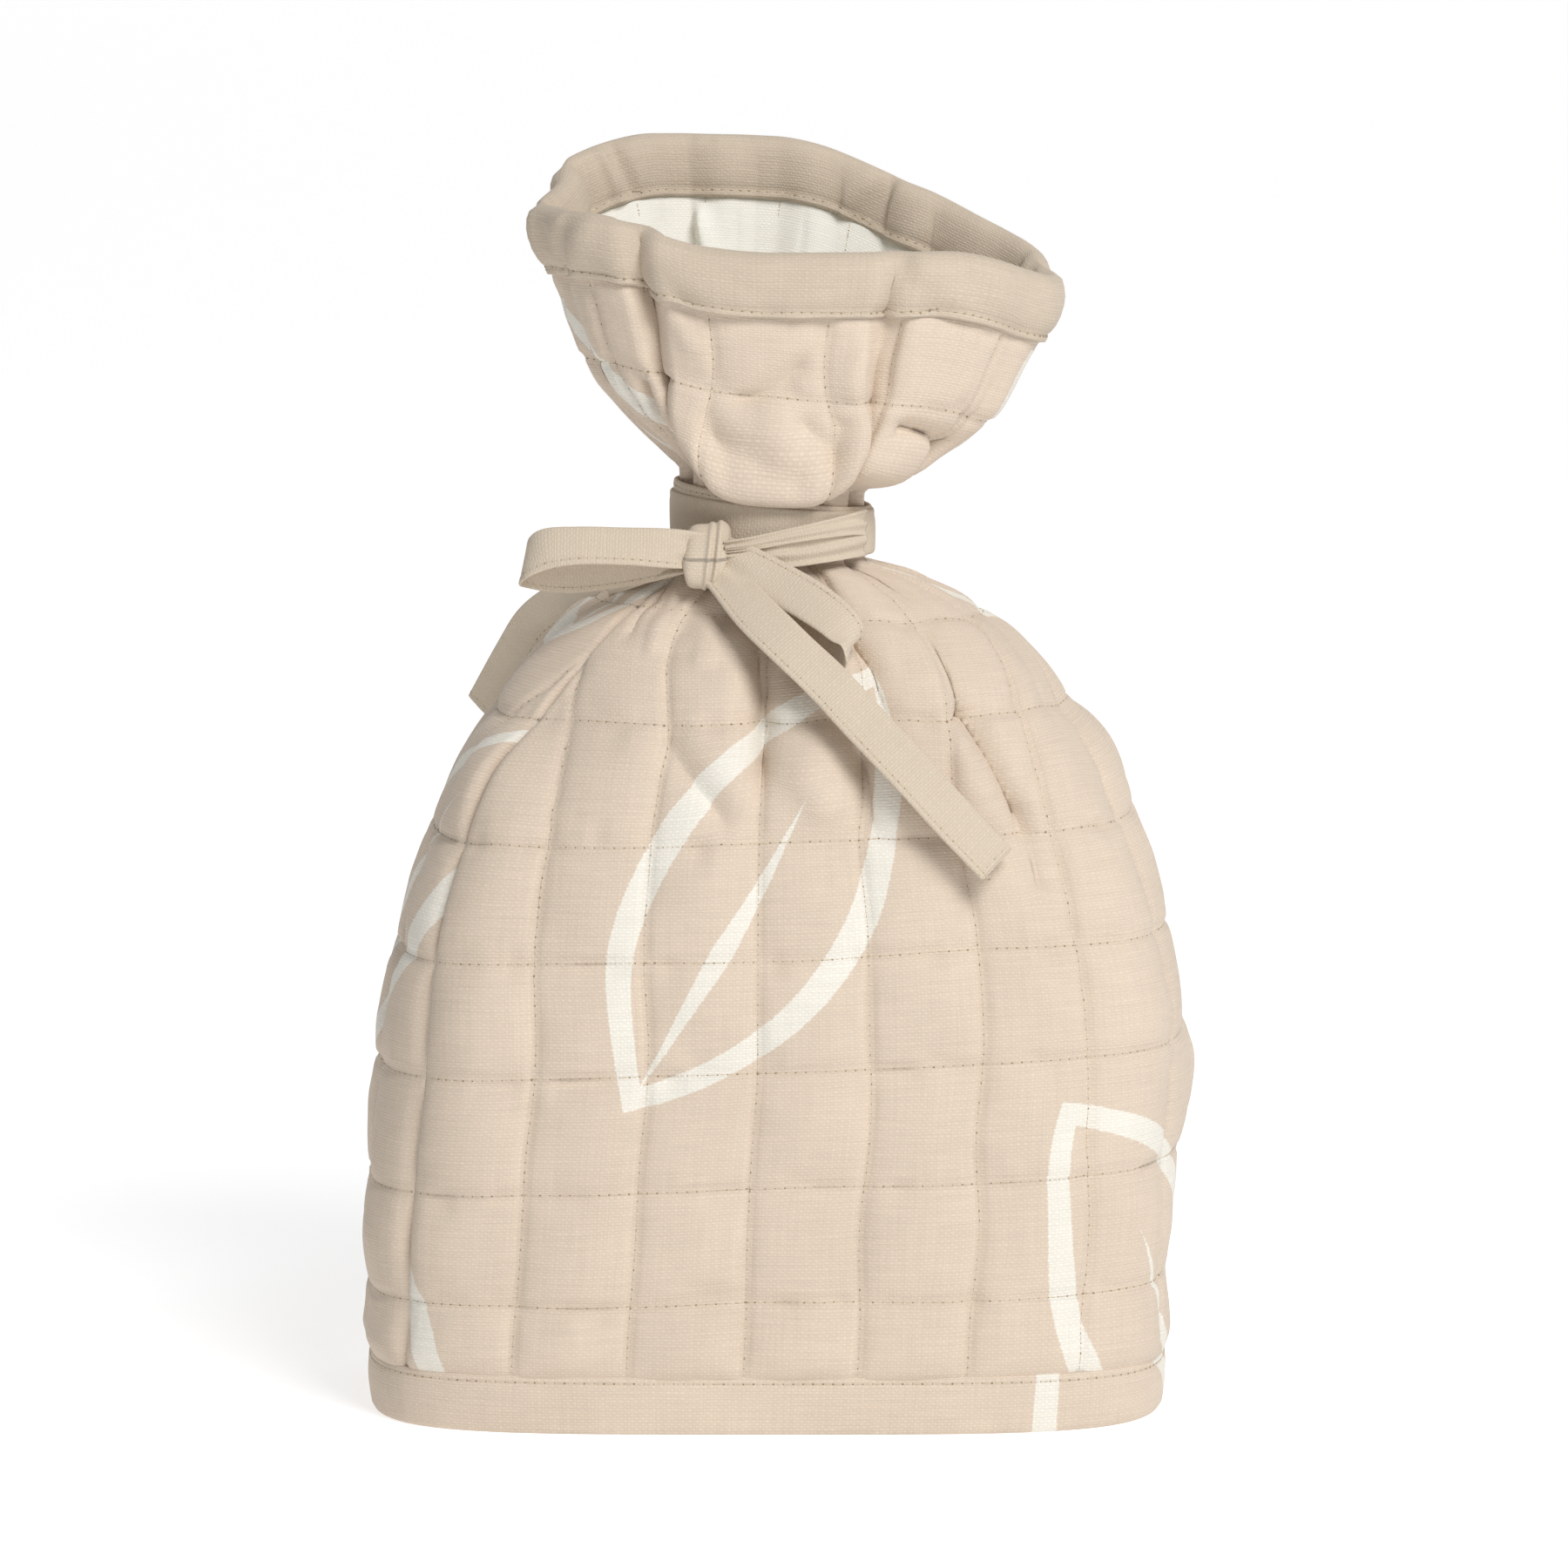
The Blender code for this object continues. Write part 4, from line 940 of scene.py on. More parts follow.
def sew(name, lines, seed, pitch=STITCH_PITCH, thread=THREAD, hole=HOLE):
    """Stitches along lines, each one (points, outward directions) in millimetres.  A bead
    is a little flattened, and the painted shade of a needle hole is a dark blob, wider along the
    line than across it."""
    points, outs, edges = [], [], []
    for line, out in lines:
        edges += [(len(points) + i, len(points) + i + 1) for i in range(len(line) - 1)]
        points += ((line - MIDDLE) * MM).tolist()
        outs += out.tolist()
    mesh = bpy.data.meshes.new(name)
    mesh.from_pydata(points, edges, [])
    direction = mesh.attributes.new("out", "FLOAT_VECTOR", "POINT")
    direction.data.foreach_set("vector", np.array(outs, dtype=np.float32).ravel())
    thing = bpy.data.objects.new(name, mesh)
    scene.collection.objects.link(thing)
    sewing = thing.modifiers.new("sewing", "NODES")
    sewing.node_group = SEWING
    half_bead = 0.5 * STITCH_LENGTH * pitch / STITCH_PITCH
    for label, value in (
        ("Pitch", pitch * MM), ("Seed", seed),
        ("Bead", (half_bead * MM, 0.5 * thread * MM, 0.4 * thread * MM)),
        ("Hole", (hole * MM, 0.8 * hole * MM, 0.45 * hole * MM)),
        ("Thread", SEWN_THREAD), ("Shadow", NEEDLE_HOLE_SHADE),
    ):
        sewing[SEWING_SOCKETS[label]] = value
    depsgraph = bpy.context.evaluated_depsgraph_get()
    sewn = bpy.data.meshes.new_from_object(thing.evaluated_get(depsgraph))
    thing.modifiers.clear()
    thing.data = sewn
    sewn.name = name
    sewn.shade_smooth()
    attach(thing, "root")
    return thing


def on_cloth(lines, cloth_thing):
    """The same lines, moved onto the nearest points of a finished piece."""
    depsgraph = bpy.context.evaluated_depsgraph_get()
    tree = BVHTree.FromObject(cloth_thing, depsgraph)
    moved = []
    for points, outs in lines:
        found = [tree.find_nearest(Vector(point))[0] for point in (points - MIDDLE) * MM]
        moved.append((np.array([tuple(place) for place in found]) / MM + MIDDLE, outs))
    return moved


LINE_POINTS, LINE_STEP = 240, 1.2   # points along a row, millimetres along a column
ROW_END, COLUMN_END = 0.06, 0.12    # squares from the side seam where stitches end


def seam_line(places):
    """A line for sewing from its (point, outward direction) pairs."""
    return np.array([place[0] for place in places]), np.array([place[1] for place in places])


def quilting_lines(offset_halves, seed):
    """Every stitched row and column of one panel, along the bottom of its groove."""
    lines = []
    for level in STITCHED_ROWS[1:-1]:
        if NECK_LOW < level < NECK_HIGH:
            continue
        half = ring_at(level).half
        columns = np.linspace(-half + ROW_END, half - ROW_END, LINE_POINTS)
        face, _, normal = face_row(columns, offset_halves, level, seed)
        lines.append((face, normal))
    below_tie = (STITCHED_ROWS[0] + 0.8, NECK_LOW - 2.0)
    above_tie = (NECK_HIGH + 4.0, MOUTH_SEAM - 0.8)
    for low, high in (below_tie, above_tie):
        seams = {}
        for level in cloth_levels(low, high, LINE_STEP):
            inside = math.ceil(ring_at(level).half - COLUMN_END) - 1
            columns = np.arange(-inside, inside + 1)
            face, _, normal = face_row(columns.astype(float), offset_halves, level, seed)
            for column, point, out in zip(columns, face, normal):
                seams.setdefault(int(column), []).append((point, out))
        lines += [seam_line(seam) for seam in seams.values() if len(seam) > 3]
    return lines


front_stitches = sew(
    "front_stitches", on_cloth(quilting_lines(*FRONT), front_panel), 61
)
back_stitches = sew(
    "back_stitches", on_cloth(quilting_lines(*BACK), back_panel), 62
)


# ---- Hem binding ---------------------------------------------------------------------
# A 15 mm strip of the same printed canvas is folded over the lower edge of the sleeve
# and stitched through near its upper edge.  Its underside is what the cosy stands on.
BAND_STEP = 1.5                     # fineness of a binding, along its length


def face_outwards(thing):
    """Turn every face of a closed piece outwards."""
    fix = bmesh.new()
    fix.from_mesh(thing.data)
    bmesh.ops.recalc_face_normals(fix, faces=fix.faces[:])
    fix.to_mesh(thing.data)
    fix.free()


def swept_band(name, node, profile, detail, material, upright=False):
    """A closed band around the sleeve.  profile: (distance, level) points around its
    section.  detail: function of (cloth, distance, level) for small extra relief.  An
    upright band keeps each of its edges at one height."""
    columns = int(round(4 * BASE_SQUARES * SQUARE / BAND_STEP))
    loops, uv_loops = [], []
    girth = 0.0
    for index, (distance, level) in enumerate(profile):
        ring = ring_at(level)
        cloth = np.arange(columns) / columns * 4.0 * ring.half - ring.half
        middle, normal = surface_rows(cloth, level)
        loop = middle + normal * (distance + detail(cloth, distance, level))[:, None]
        if upright:
            loop[:, 2] = level
        loops.append(loop)
        if index:
            before = profile[index - 1]
            girth += math.hypot(distance - before[0], level - before[1])
        uv_loops.append(np.stack([cloth * SQUARE, np.full_like(cloth, girth)], axis=1))
    faces = grid_faces(len(loops), columns, wrap_rows=True, wrap_columns=True)
    uv = np.vstack(uv_loops)[faces]
    wrapped = faces[:, 1] % columns == 0
    uv[wrapped, 1:3, 0] += 4.0 * ring_at(profile[0][1]).half * SQUARE
    thing = cloth_object(name, np.vstack(loops), faces, uv.reshape(-1, 2), [material])
    face_outwards(thing)
    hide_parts(node)
    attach(thing, "root")
    return thing


BINDING = 1.2                       # thickness of the strip
HEM_HALF = 0.5 * RINGS[0].core + CLEARANCE
hem_outer = HEM_HALF + BINDING

# Section of the strip, as (distance from the middle of the cloth, level): down its slot
# on the outer side and up on the inner one, down its inner face, along the table, and up
# its outer face to the turned-in edge.
hem_slot = [
    (HEM_HALF, 15.2), (HEM_HALF, 8.0), (HEM_HALF, PANEL_FOOT - CLEARANCE),
    (-HEM_HALF, PANEL_FOOT - CLEARANCE), (-HEM_HALF, 8.0), (-HEM_HALF, 15.2),
]
hem_inner = [(-HEM_HALF - 0.8, 15.5), (-hem_outer, 14.8)]
hem_inner += [(-hem_outer, level) for level in (12.0, 9.0, 6.0, 3.0)]
hem_foot = [
    (-hem_outer + 0.05, 1.2), (-hem_outer + 0.5, 0.25), (-hem_outer + 1.0, 0.0), (0.0, 0.0),
    (hem_outer - 1.0, 0.0), (hem_outer - 0.5, 0.25), (hem_outer - 0.05, 1.2),
]
hem_face = [
    (hem_outer + 0.5 * math.sin(0.26 * (level - PANEL_FOOT)), level)
    for level in np.arange(2.5, 13.1, 1.0)
]
hem_edge = [
    (hem_outer - 0.25, 13.6), (hem_outer - 0.30, 14.3),
    (hem_outer - 0.40, 15.2), (HEM_HALF + 0.3, 15.7),
]
HEM_WAVES, HEM_FINE = 0.25, 0.10    # heights of the waves in its faces


def hem_ripple(cloth, distance, level):
    """Shallow waves in the binding's outer and inner face."""
    if abs(distance) < HEM_HALF + 0.2 or level < 1.0:
        return np.zeros_like(cloth)
    waves = ripple(cloth * 1.6, level / 12.0, 21)
    fine = ripple(cloth * 6.0, level / 7.0, 22)
    return math.copysign(1.0, distance) * (HEM_WAVES * waves + HEM_FINE * fine)


hem_canvas = canvas("hem_canvas", BEIGE, printed=True)
hem_profile = hem_slot + hem_inner + hem_foot + hem_face + hem_edge
hem_strip = swept_band(
    "hem_strip", "hem_binding", hem_profile, hem_ripple, hem_canvas, upright=True
)
AROUND_POINTS = 900


def band_line(level, distance, half):
    """A line all the way around the sleeve, a little outside or inside the cloth."""
    cloth = np.linspace(-half, 3.0 * half, AROUND_POINTS)
    middle, normal = surface_rows(cloth, level)
    sign = math.copysign(1.0, distance)
    return middle + normal * distance, normal * sign


HEM_STITCHES = 13.8                 # level of the seam
hem_line = band_line(HEM_STITCHES, hem_outer, RINGS[0].half)
hem_stitches = sew("hem_stitches", on_cloth([hem_line], hem_strip), 63)


# ---- Mouth binding -------------------------------------------------------------------
# A plump 17 mm strip of plain canvas is folded over the rim.  It is stitched through
# both of its turned-in edges, and ripples where the mouth curves.
LINING = 0.8                        # thickness of the lining, which the strip takes in too
mouth_core = RINGS[-1].core
rim_outside = 0.5 * mouth_core + CLEARANCE
rim_inside = -(0.5 * mouth_core + 2.0 * CLEARANCE + LINING)

# Section of the strip, as (height over its slot's wall, level): from the lower edge, over
# the stitched furrow and around the plump roll.  Its inner face is nearly the same.
rim_lower = [(0.6, MOUTH_SEAM), (1.3, 299.3), (1.35, 300.2), (0.85, 301.0)]
rim_outer = [
    (1.5, 302.0), (2.1, 303.6), (2.4, 306.0), (2.5, 308.5), (2.4, 311.0), (1.8, 313.2),
    (0.8, 314.9),
]
rim_top = [(0.0, 315.9), (-1.0, 316.1), (-2.0, 315.8)]     # from the middle of the cloth
rim_inner = [(1.2, 314.6), (2.1, 312.6), (2.4, 310.0), (2.4, 307.0), (2.1, 304.0), (1.5, 302.0)]
rim_inner_lower = [(0.85, 301.0), (1.35, 300.2), (1.2, 299.3), (0.6, MOUTH_SEAM)]
rim_slot_levels = (306.5, 299.6)
SLOT_TOP = CLOTH_TOP + CLEARANCE
rim_profile = (
    [(rim_outside, level) for level in rim_slot_levels]
    + [(rim_outside + over, level) for over, level in rim_lower + rim_outer]
    + rim_top
    + [(rim_inside - over, level) for over, level in rim_inner + rim_inner_lower]
    + [(rim_inside, level) for level in rim_slot_levels[::-1]]
    + [(rim_inside, SLOT_TOP), (rim_outside, SLOT_TOP)]
)

# Creases across the binding.  cloth: where each one is.  slant: squares that it leans by
# over CREASE_RUN of height.  wide: half width in squares.  deep: millimetres.
Crease = namedtuple("Crease", "cloth slant wide deep")
RIM_CREASES = [
    Crease(10.1, 0.25, 0.10, 1.9), Crease(9.35, -0.15, 0.10, 2.8),
    Crease(8.1, 0.15, 0.10, 1.8), Crease(7.45, 0.20, 0.09, 2.6),
    Crease(4.30, -0.25, 0.10, 2.6), Crease(1.15, 0.3, 0.11, 1.9),
    Crease(-0.75, -0.3, 0.14, 1.2), Crease(-2.6, 0.3, 0.16, 0.7),
]
CREASE_LEVEL, CREASE_RUN = 300.0, 15.0      # a crease is at its cloth coordinate at this level
DEEPEST_CREASE = 1.7                # the binding's folded edges lie just under this
CREASE_RIDGE = 0.4                  # share of its depth that stands up beside a crease
RIM_WAVES, RIM_FINE = 0.55, 0.30    # heights of the puckers
PLAIN_TOP = 314.5                   # the slot's walls lie below this, and don't ripple


def rim_ripple(cloth, distance, level):
    """Puckers of the plump binding, slanted along the rim."""
    in_slot = rim_inside - 0.3 < distance < rim_outside + 0.3
    if in_slot and level < PLAIN_TOP:
        return np.zeros_like(cloth)
    slant = cloth + (level - CREASE_LEVEL) / 28.0
    waves = ripple(slant * 2.2, level / 20.0, 31)
    fine = ripple(slant * 6.5, level / 9.0, 32)
    height = RIM_WAVES * waves + RIM_FINE * fine
    for crease in RIM_CREASES:
        at = crease.cloth + crease.slant * (level - CREASE_LEVEL) / CREASE_RUN
        apart = (cloth - at) / crease.wide
        height -= crease.deep * np.exp(-(apart**2))
        height += CREASE_RIDGE * crease.deep * np.exp(-((apart - 2.0) ** 2))
    height = np.where(height < 0.0, DEEPEST_CREASE * np.tanh(height / DEEPEST_CREASE), height)
    return float(np.clip((distance + 1.0) / 3.0, -1.0, 1.0)) * height


BINDING_BEIGE = (0.58, 0.487, 0.383)
plain_canvas = canvas("plain_canvas", BINDING_BEIGE)
rim_strip = swept_band(
    "rim_strip", "mouth_binding", rim_profile, rim_ripple, plain_canvas
)

RIM_STITCHES, RIM_STITCHES_OUT = 300.9, 1.4     # level, and distance from the slot's walls
rim_lines = [
    band_line(RIM_STITCHES, rim_outside + RIM_STITCHES_OUT, RINGS[-1].half),
    band_line(RIM_STITCHES, rim_inside - RIM_STITCHES_OUT, RINGS[-1].half),
]
rim_stitches = sew("rim_stitches", on_cloth(rim_lines, rim_strip), 64)


# ---- Mouth lining --------------------------------------------------------------------
# Plain white cotton lines the flared mouth, from a little above the tie up into the
# binding.  The upright lines of the quilting are stitched through it.
LINING_FOOT, LINING_TOP, LINING_STEP = 260.0, 312.0, 1.6
lining_face = -(0.5 * mouth_core + CLEARANCE)
lining_levels = cloth_levels(LINING_FOOT, LINING_TOP, LINING_STEP)
lining_profile = [(lining_face, level) for level in lining_levels]
lining_profile += [(lining_face - LINING, level) for level in lining_levels[::-1]]


# Folds that stand up in the lining.  cloth: where each one is, at LEAN_LEVEL.  lean:
# squares that it leans by over LEAN_RUN of height.  wide: half width in squares.
LiningFold = namedtuple("LiningFold", "cloth lean wide high")
LINING_FOLDS = [
    LiningFold(8.42, 0.0, 0.06, 2.6), LiningFold(8.62, 0.0, 0.07, 1.6),
    LiningFold(6.30, 1.0, 0.13, 4.0),
]
LEAN_LEVEL, LEAN_RUN = 285.0, 60.0
LINING_DENT, LINING_PUFF, LINING_WAVES = (0.5, 1.2), 0.5, 0.25


def lining_ripple(cloth, distance, level):
    """Quilting shows through the lining as soft dents along its stitched columns.  Both
    faces of the cloth move alike, so the distance plays no part."""
    near_column = SQUARE * np.abs(cloth - np.round(cloth))
    below_binding = float(ease((MOUTH_SEAM - level) / 6.0))
    relief = hump(near_column, LINING_DENT)
    relief = relief - LINING_PUFF * np.abs(np.sin(math.pi * cloth)) ** 0.6
    ridges = np.zeros_like(cloth)
    for fold in LINING_FOLDS:
        at = fold.cloth + fold.lean * (level - LEAN_LEVEL) / LEAN_RUN
        ridges += hump(cloth - at, (fold.high, fold.wide))
    waves = LINING_WAVES * ripple(cloth * 2.0, level / 14.0, 41)
    return below_binding * (relief - ridges + waves)


mouth_cotton = canvas("mouth_cotton", INNER_WHITE, thread=(0.6, 0.5), relief=0.09, uneven=0.05)
mouth_lining = swept_band(
    "mouth_cloth", "lining", lining_profile, lining_ripple, mouth_cotton
)

panel_seams = np.arange(-KEPT_SQUARES, KEPT_SQUARES + 1)
lining_seams = {}
for seam_level in cloth_levels(LINING_FOOT + 2.0, MOUTH_SEAM - 1.0, LINE_STEP):
    seam_half = ring_at(seam_level).half
    seam_columns = np.concatenate([panel_seams, panel_seams + 2.0 * seam_half])
    seam_middle, seam_normal = surface_rows(seam_columns, seam_level)
    seam_points = seam_middle + seam_normal * (lining_face - LINING)
    for order, (point, out) in enumerate(zip(seam_points, -seam_normal)):
        lining_seams.setdefault(order, []).append((point, out))
lining_lines = [seam_line(seam) for seam in lining_seams.values()]
lining_stitches = sew(
    "lining_stitches", on_cloth(lining_lines, mouth_lining), 65, hole=0.26, thread=0.36
)


# ---- Tie -----------------------------------------------------------------------------
# A 12 mm tape of the plain canvas, folded in half and stitched along one edge.  It goes
# twice around the neck and is tied in a bow with two loops and two free tails.
TAPE_WIDTH, TAPE = 12.0, 1.4        # width and thickness
neck_ring = ring_at(NECK_HIGH)
neck_radius = neck_ring.left + 0.5 * neck_ring.core + CLEARANCE
LOWER_TURN, UPPER_TURN = 234.5, 236.4   # heights of the two turns
LOWER_OUT, UPPER_OUT = 1.6, 0.7     # how far their middle lies from the neck's radius
LOWER_TILT = 1.2                    # the lower turn is this much higher on the right
TURN_POINTS = 24
ROUTE_STEPS = 12                    # steps of a smooth route from point to point

# x, y, z: the middle of the tape.  out_x, out_y, out_z: the way that its face looks.
# wide: share of its full width there.
TapePoint = namedtuple("TapePoint", "x y z out_x out_y out_z wide")
LEFT_LOOP = [
    TapePoint(-17.5, -31.5, 229.4, 0.0, -1.0, 0.1, 0.8),
    TapePoint(-26.0, -33.4, 230.2, -0.1, -1.0, 0.4, 0.9),
    TapePoint(-38.0, -34.2, 230.9, 0.0, -1.0, 0.7, 0.95),
    TapePoint(-51.0, -34.0, 231.0, 0.0, -1.0, 0.7, 0.95),
    TapePoint(-60.0, -32.8, 230.0, -0.3, -1.0, 0.6, 1.0),
    TapePoint(-64.5, -29.4, 226.4, -1.0, -0.1, 0.3, 1.0),
    TapePoint(-61.5, -25.6, 224.2, -0.2, 1.0, 0.3, 1.0),
    TapePoint(-52.5, -25.2, 223.4, 0.1, 1.0, 0.2, 1.0),
    TapePoint(-40.0, -26.8, 225.0, 0.1, 1.0, 0.2, 1.0),
    TapePoint(-28.0, -28.6, 227.2, 0.1, 1.0, 0.1, 0.9),
    TapePoint(-18.5, -29.0, 229.0, 0.0, 1.0, 0.0, 0.75),
]
RIGHT_LOOP = [
    TapePoint(-16.5, -30.5, 230.0, 0.1, -1.0, 0.2, 0.75),
    TapePoint(-8.0, -35.0, 226.6, 0.1, -1.0, 0.3, 0.9),
    TapePoint(2.0, -41.2, 221.8, 0.1, -1.0, 0.5, 1.0),
    TapePoint(10.5, -46.8, 217.6, 0.1, -1.0, 0.5, 1.0),
    TapePoint(17.5, -51.2, 212.6, 0.5, -1.0, 0.4, 1.0),
    TapePoint(20.6, -52.6, 207.8, 0.9, -0.4, -0.4, 1.0),
    TapePoint(17.2, -50.6, 205.2, 0.2, 1.0, -0.6, 1.0),
    TapePoint(9.5, -46.8, 209.0, -0.2, 1.0, -0.6, 1.0),
    TapePoint(1.0, -42.2, 214.6, -0.2, 1.0, -0.5, 1.0),
    TapePoint(-7.0, -36.2, 221.2, -0.1, 1.0, -0.4, 0.9),
    TapePoint(-15.5, -29.5, 227.4, 0.0, 1.0, -0.2, 0.75),
]
RIGHT_TAIL = [
    TapePoint(-16.5, -31.0, 226.5, 0.1, -1.0, 0.2, 0.75),
    TapePoint(-11.0, -38.5, 221.5, 0.1, -1.0, 0.4, 0.9),
    TapePoint(-4.0, -48.0, 214.5, 0.0, -1.0, 0.6, 1.0),
    TapePoint(4.5, -55.5, 207.0, 0.0, -1.0, 0.6, 1.0),
    TapePoint(14.0, -60.0, 198.5, 0.0, -1.0, 0.5, 1.0),
    TapePoint(24.0, -63.5, 188.0, 0.1, -1.0, 0.4, 1.0),
    TapePoint(36.0, -66.5, 175.5, 0.2, -1.0, 0.3, 1.0),
    TapePoint(47.0, -67.5, 163.5, 0.3, -1.0, 0.2, 1.0),
    TapePoint(58.5, -66.0, 151.0, 0.4, -1.0, 0.2, 1.0),
]
LEFT_TAIL = [
    TapePoint(-18.0, -29.5, 228.4, -0.3, -1.0, 0.3, 0.75),
    TapePoint(-27.0, -27.0, 227.0, -0.4, -0.8, 0.6, 0.9),
    TapePoint(-37.0, -17.0, 223.0, -0.4, -0.8, 0.6, 1.0),
    TapePoint(-47.0, -2.0, 218.5, -0.5, -1.0, 0.4, 1.0),
    TapePoint(-55.5, 12.0, 212.0, -0.6, -1.0, 0.3, 1.0),
    TapePoint(-64.5, 22.0, 204.5, -0.6, -1.0, 0.2, 1.0),
    TapePoint(-70.5, 29.5, 194.5, -0.6, -1.0, 0.1, 1.0),
    TapePoint(-78.8, 38.5, 179.0, -0.6, -1.0, 0.1, 1.0),
]

# The ends of the two turns, which narrow into folds on their way to the knot.
LOWER_END = [
    TapePoint(24.0, -14.5, 231.4, 0.9, -0.5, 0.0, 0.85),
    TapePoint(20.0, -21.0, 230.6, 0.7, -0.7, 0.1, 0.72),
    TapePoint(12.5, -27.4, 229.4, 0.4, -0.9, 0.2, 0.62),
    TapePoint(4.0, -31.2, 228.6, 0.1, -1.0, 0.2, 0.60),
    TapePoint(-5.0, -33.2, 228.4, 0.0, -1.0, 0.2, 0.45),
    TapePoint(-12.5, -33.4, 228.4, 0.0, -1.0, 0.1, 0.30),
]
UPPER_END = [
    TapePoint(24.5, -14.0, 235.4, 0.9, -0.5, 0.0, 0.60),
    TapePoint(19.5, -21.5, 235.2, 0.7, -0.7, 0.2, 0.46),
    TapePoint(11.0, -28.2, 234.2, 0.4, -0.9, 0.3, 0.38),
    TapePoint(2.0, -31.6, 232.8, 0.1, -1.0, 0.3, 0.33),
    TapePoint(-6.0, -33.6, 231.4, 0.0, -1.0, 0.3, 0.30),
    TapePoint(-12.5, -33.8, 230.6, 0.0, -1.0, 0.2, 0.26),
]


def smooth_route(points, closed=False):
    """Catmull-Rom curve through a route, with everything else that its points state."""
    values = np.array(points)
    if closed:
        padded = np.vstack([values[-1], values, values[:2]])
    else:
        padded = np.vstack([2 * values[0] - values[1], values, 2 * values[-1] - values[-2]])
    curve = []
    for index in range(1, len(padded) - 2):
        before, start, end, after = padded[index - 1:index + 3]
        for step in range(ROUTE_STEPS):
            t = step / ROUTE_STEPS
            curve.append(0.5 * (
                2 * start + (end - before) * t
                + (2 * before - 5 * start + 4 * end - after) * t**2
                + (3 * start - 3 * end + after - before) * t**3
            ))
    if not closed:
        curve.append(values[-1])
    return np.array(curve)


TAPE_SEAM = 4.4                     # from the middle of the tape
TAPE_FURROW, TAPE_SWELL = (0.22, 0.5), 0.12


def tape_section():
    """Section of the folded tape, as (across, through) points: round edges, and a
    stitched furrow beside one of them."""
    half = 0.5 * TAPE_WIDTH
    edge = np.array([0.94, 0.985, 1.0])
    across = np.concatenate([-edge[::-1], np.linspace(-0.85, 0.85, 11), edge])
    thick = 0.5 * TAPE * (1.0 - np.abs(across) ** 14) ** 0.5
    furrow = hump(across * half + TAPE_SEAM, TAPE_FURROW)
    swell = TAPE_SWELL * np.cos(across * 2.2)
    top = np.stack([across * half, thick - furrow + swell], axis=1)
    bottom = np.stack([across * half, -thick + furrow - swell], axis=1)[::-1]
    return np.vstack([top, bottom[1:-1]])


def tape_frames(curve, closed=False):
    """Middle, across and through directions of the tape at each point of a route."""
    places, faces_out = curve[:, :3], curve[:, 3:6]
    if closed:
        ahead = np.roll(places, -1, axis=0) - np.roll(places, 1, axis=0)
    else:
        ahead = np.gradient(places, axis=0)
    ahead /= np.linalg.norm(ahead, axis=1)[:, None]
    out = faces_out - ahead * np.sum(faces_out * ahead, axis=1)[:, None]
    out /= np.linalg.norm(out, axis=1)[:, None]
    return places, np.cross(ahead, out), out


TAPE_BEIGE = (0.615, 0.522, 0.41)
tape_canvas = canvas("tape_canvas", TAPE_BEIGE, thread=(0.8, 0.8), relief=0.12, uneven=0.08)
PINCH_REACH = 9.0                   # how far gathers run from the knot
TAPE_BEND = 0.28                    # how far the tape ripples


def tape_piece(name, route, seed, closed=False, pinch=(1.5, 0.0), folds=0.0, seam_side=1.0):
    """A length of tape along a route.  pinch: how deep the gathers are at its start and
    its end, where a knot holds it.  folds: how deep its lengthwise folds are all along.
    seam_side: side of its stitched edge, 1 or -1."""
    curve = smooth_route(route, closed=closed)
    places, side, out = tape_frames(curve, closed)
    steps = np.linalg.norm(np.diff(places, axis=0), axis=1)
    travelled = np.concatenate([[0.0], np.cumsum(steps)])
    section = tape_section() * np.array([seam_side, 1.0])
    loops, uv_loops = [], []
    share = section[:, 0] / (0.5 * TAPE_WIDTH)
    for index, place in enumerate(places):
        wide = curve[index, 6]
        from_start, from_end = travelled[index], travelled[-1] - travelled[index]
        gathers = folds + hump(from_start, (pinch[0], PINCH_REACH))
        gathers += hump(from_end, (pinch[1], PINCH_REACH))
        wave = gathers * 0.5 * np.cos(share * 2.0 * math.pi + 0.6)
        bend = TAPE_BEND * ripple(share * 0.9 + 5.0, travelled[index] / 11.0, seed)
        through = section[:, 1] + wave + bend
        loops.append(
            place
            + side[index] * (section[:, 0] * wide)[:, None]
            + out[index] * through[:, None]
        )
        along = np.full(len(section), travelled[index])
        uv_loops.append(np.stack([section[:, 0], along], axis=1))
    count = len(section)
    faces = grid_faces(len(loops), count, wrap_rows=closed, wrap_columns=True)
    uv = np.vstack(uv_loops)[faces]
    if closed:
        lap = faces[:, 2] < faces[:, 0] - count
        uv[lap, 2:4, 1] += travelled[-1]
    faces = [tuple(face) for face in faces]
    uv_corners = list(uv.reshape(-1, 2))
    if not closed:
        last = (len(loops) - 1) * count
        faces.append(tuple(range(count)))
        faces.append(tuple(last + i for i in reversed(range(count))))
        uv_corners += list(uv_loops[0]) + list(uv_loops[-1][::-1])
    thing = cloth_object(name, np.vstack(loops), faces, np.array(uv_corners), [tape_canvas])
    face_outwards(thing)
    return thing


def turn_route(radius, middle, tilt):
    """Route of one turn around the neck."""
    route = []
    for index in range(TURN_POINTS):
        angle = 2.0 * math.pi * index / TURN_POINTS
        right, back = -math.sin(angle), math.cos(angle)
        x, y = radius * right, radius * back
        height = middle + tilt * right + neck_ring.lean * x
        route.append(TapePoint(x, y, height, right, back, 0.0, 1.0))
    return route


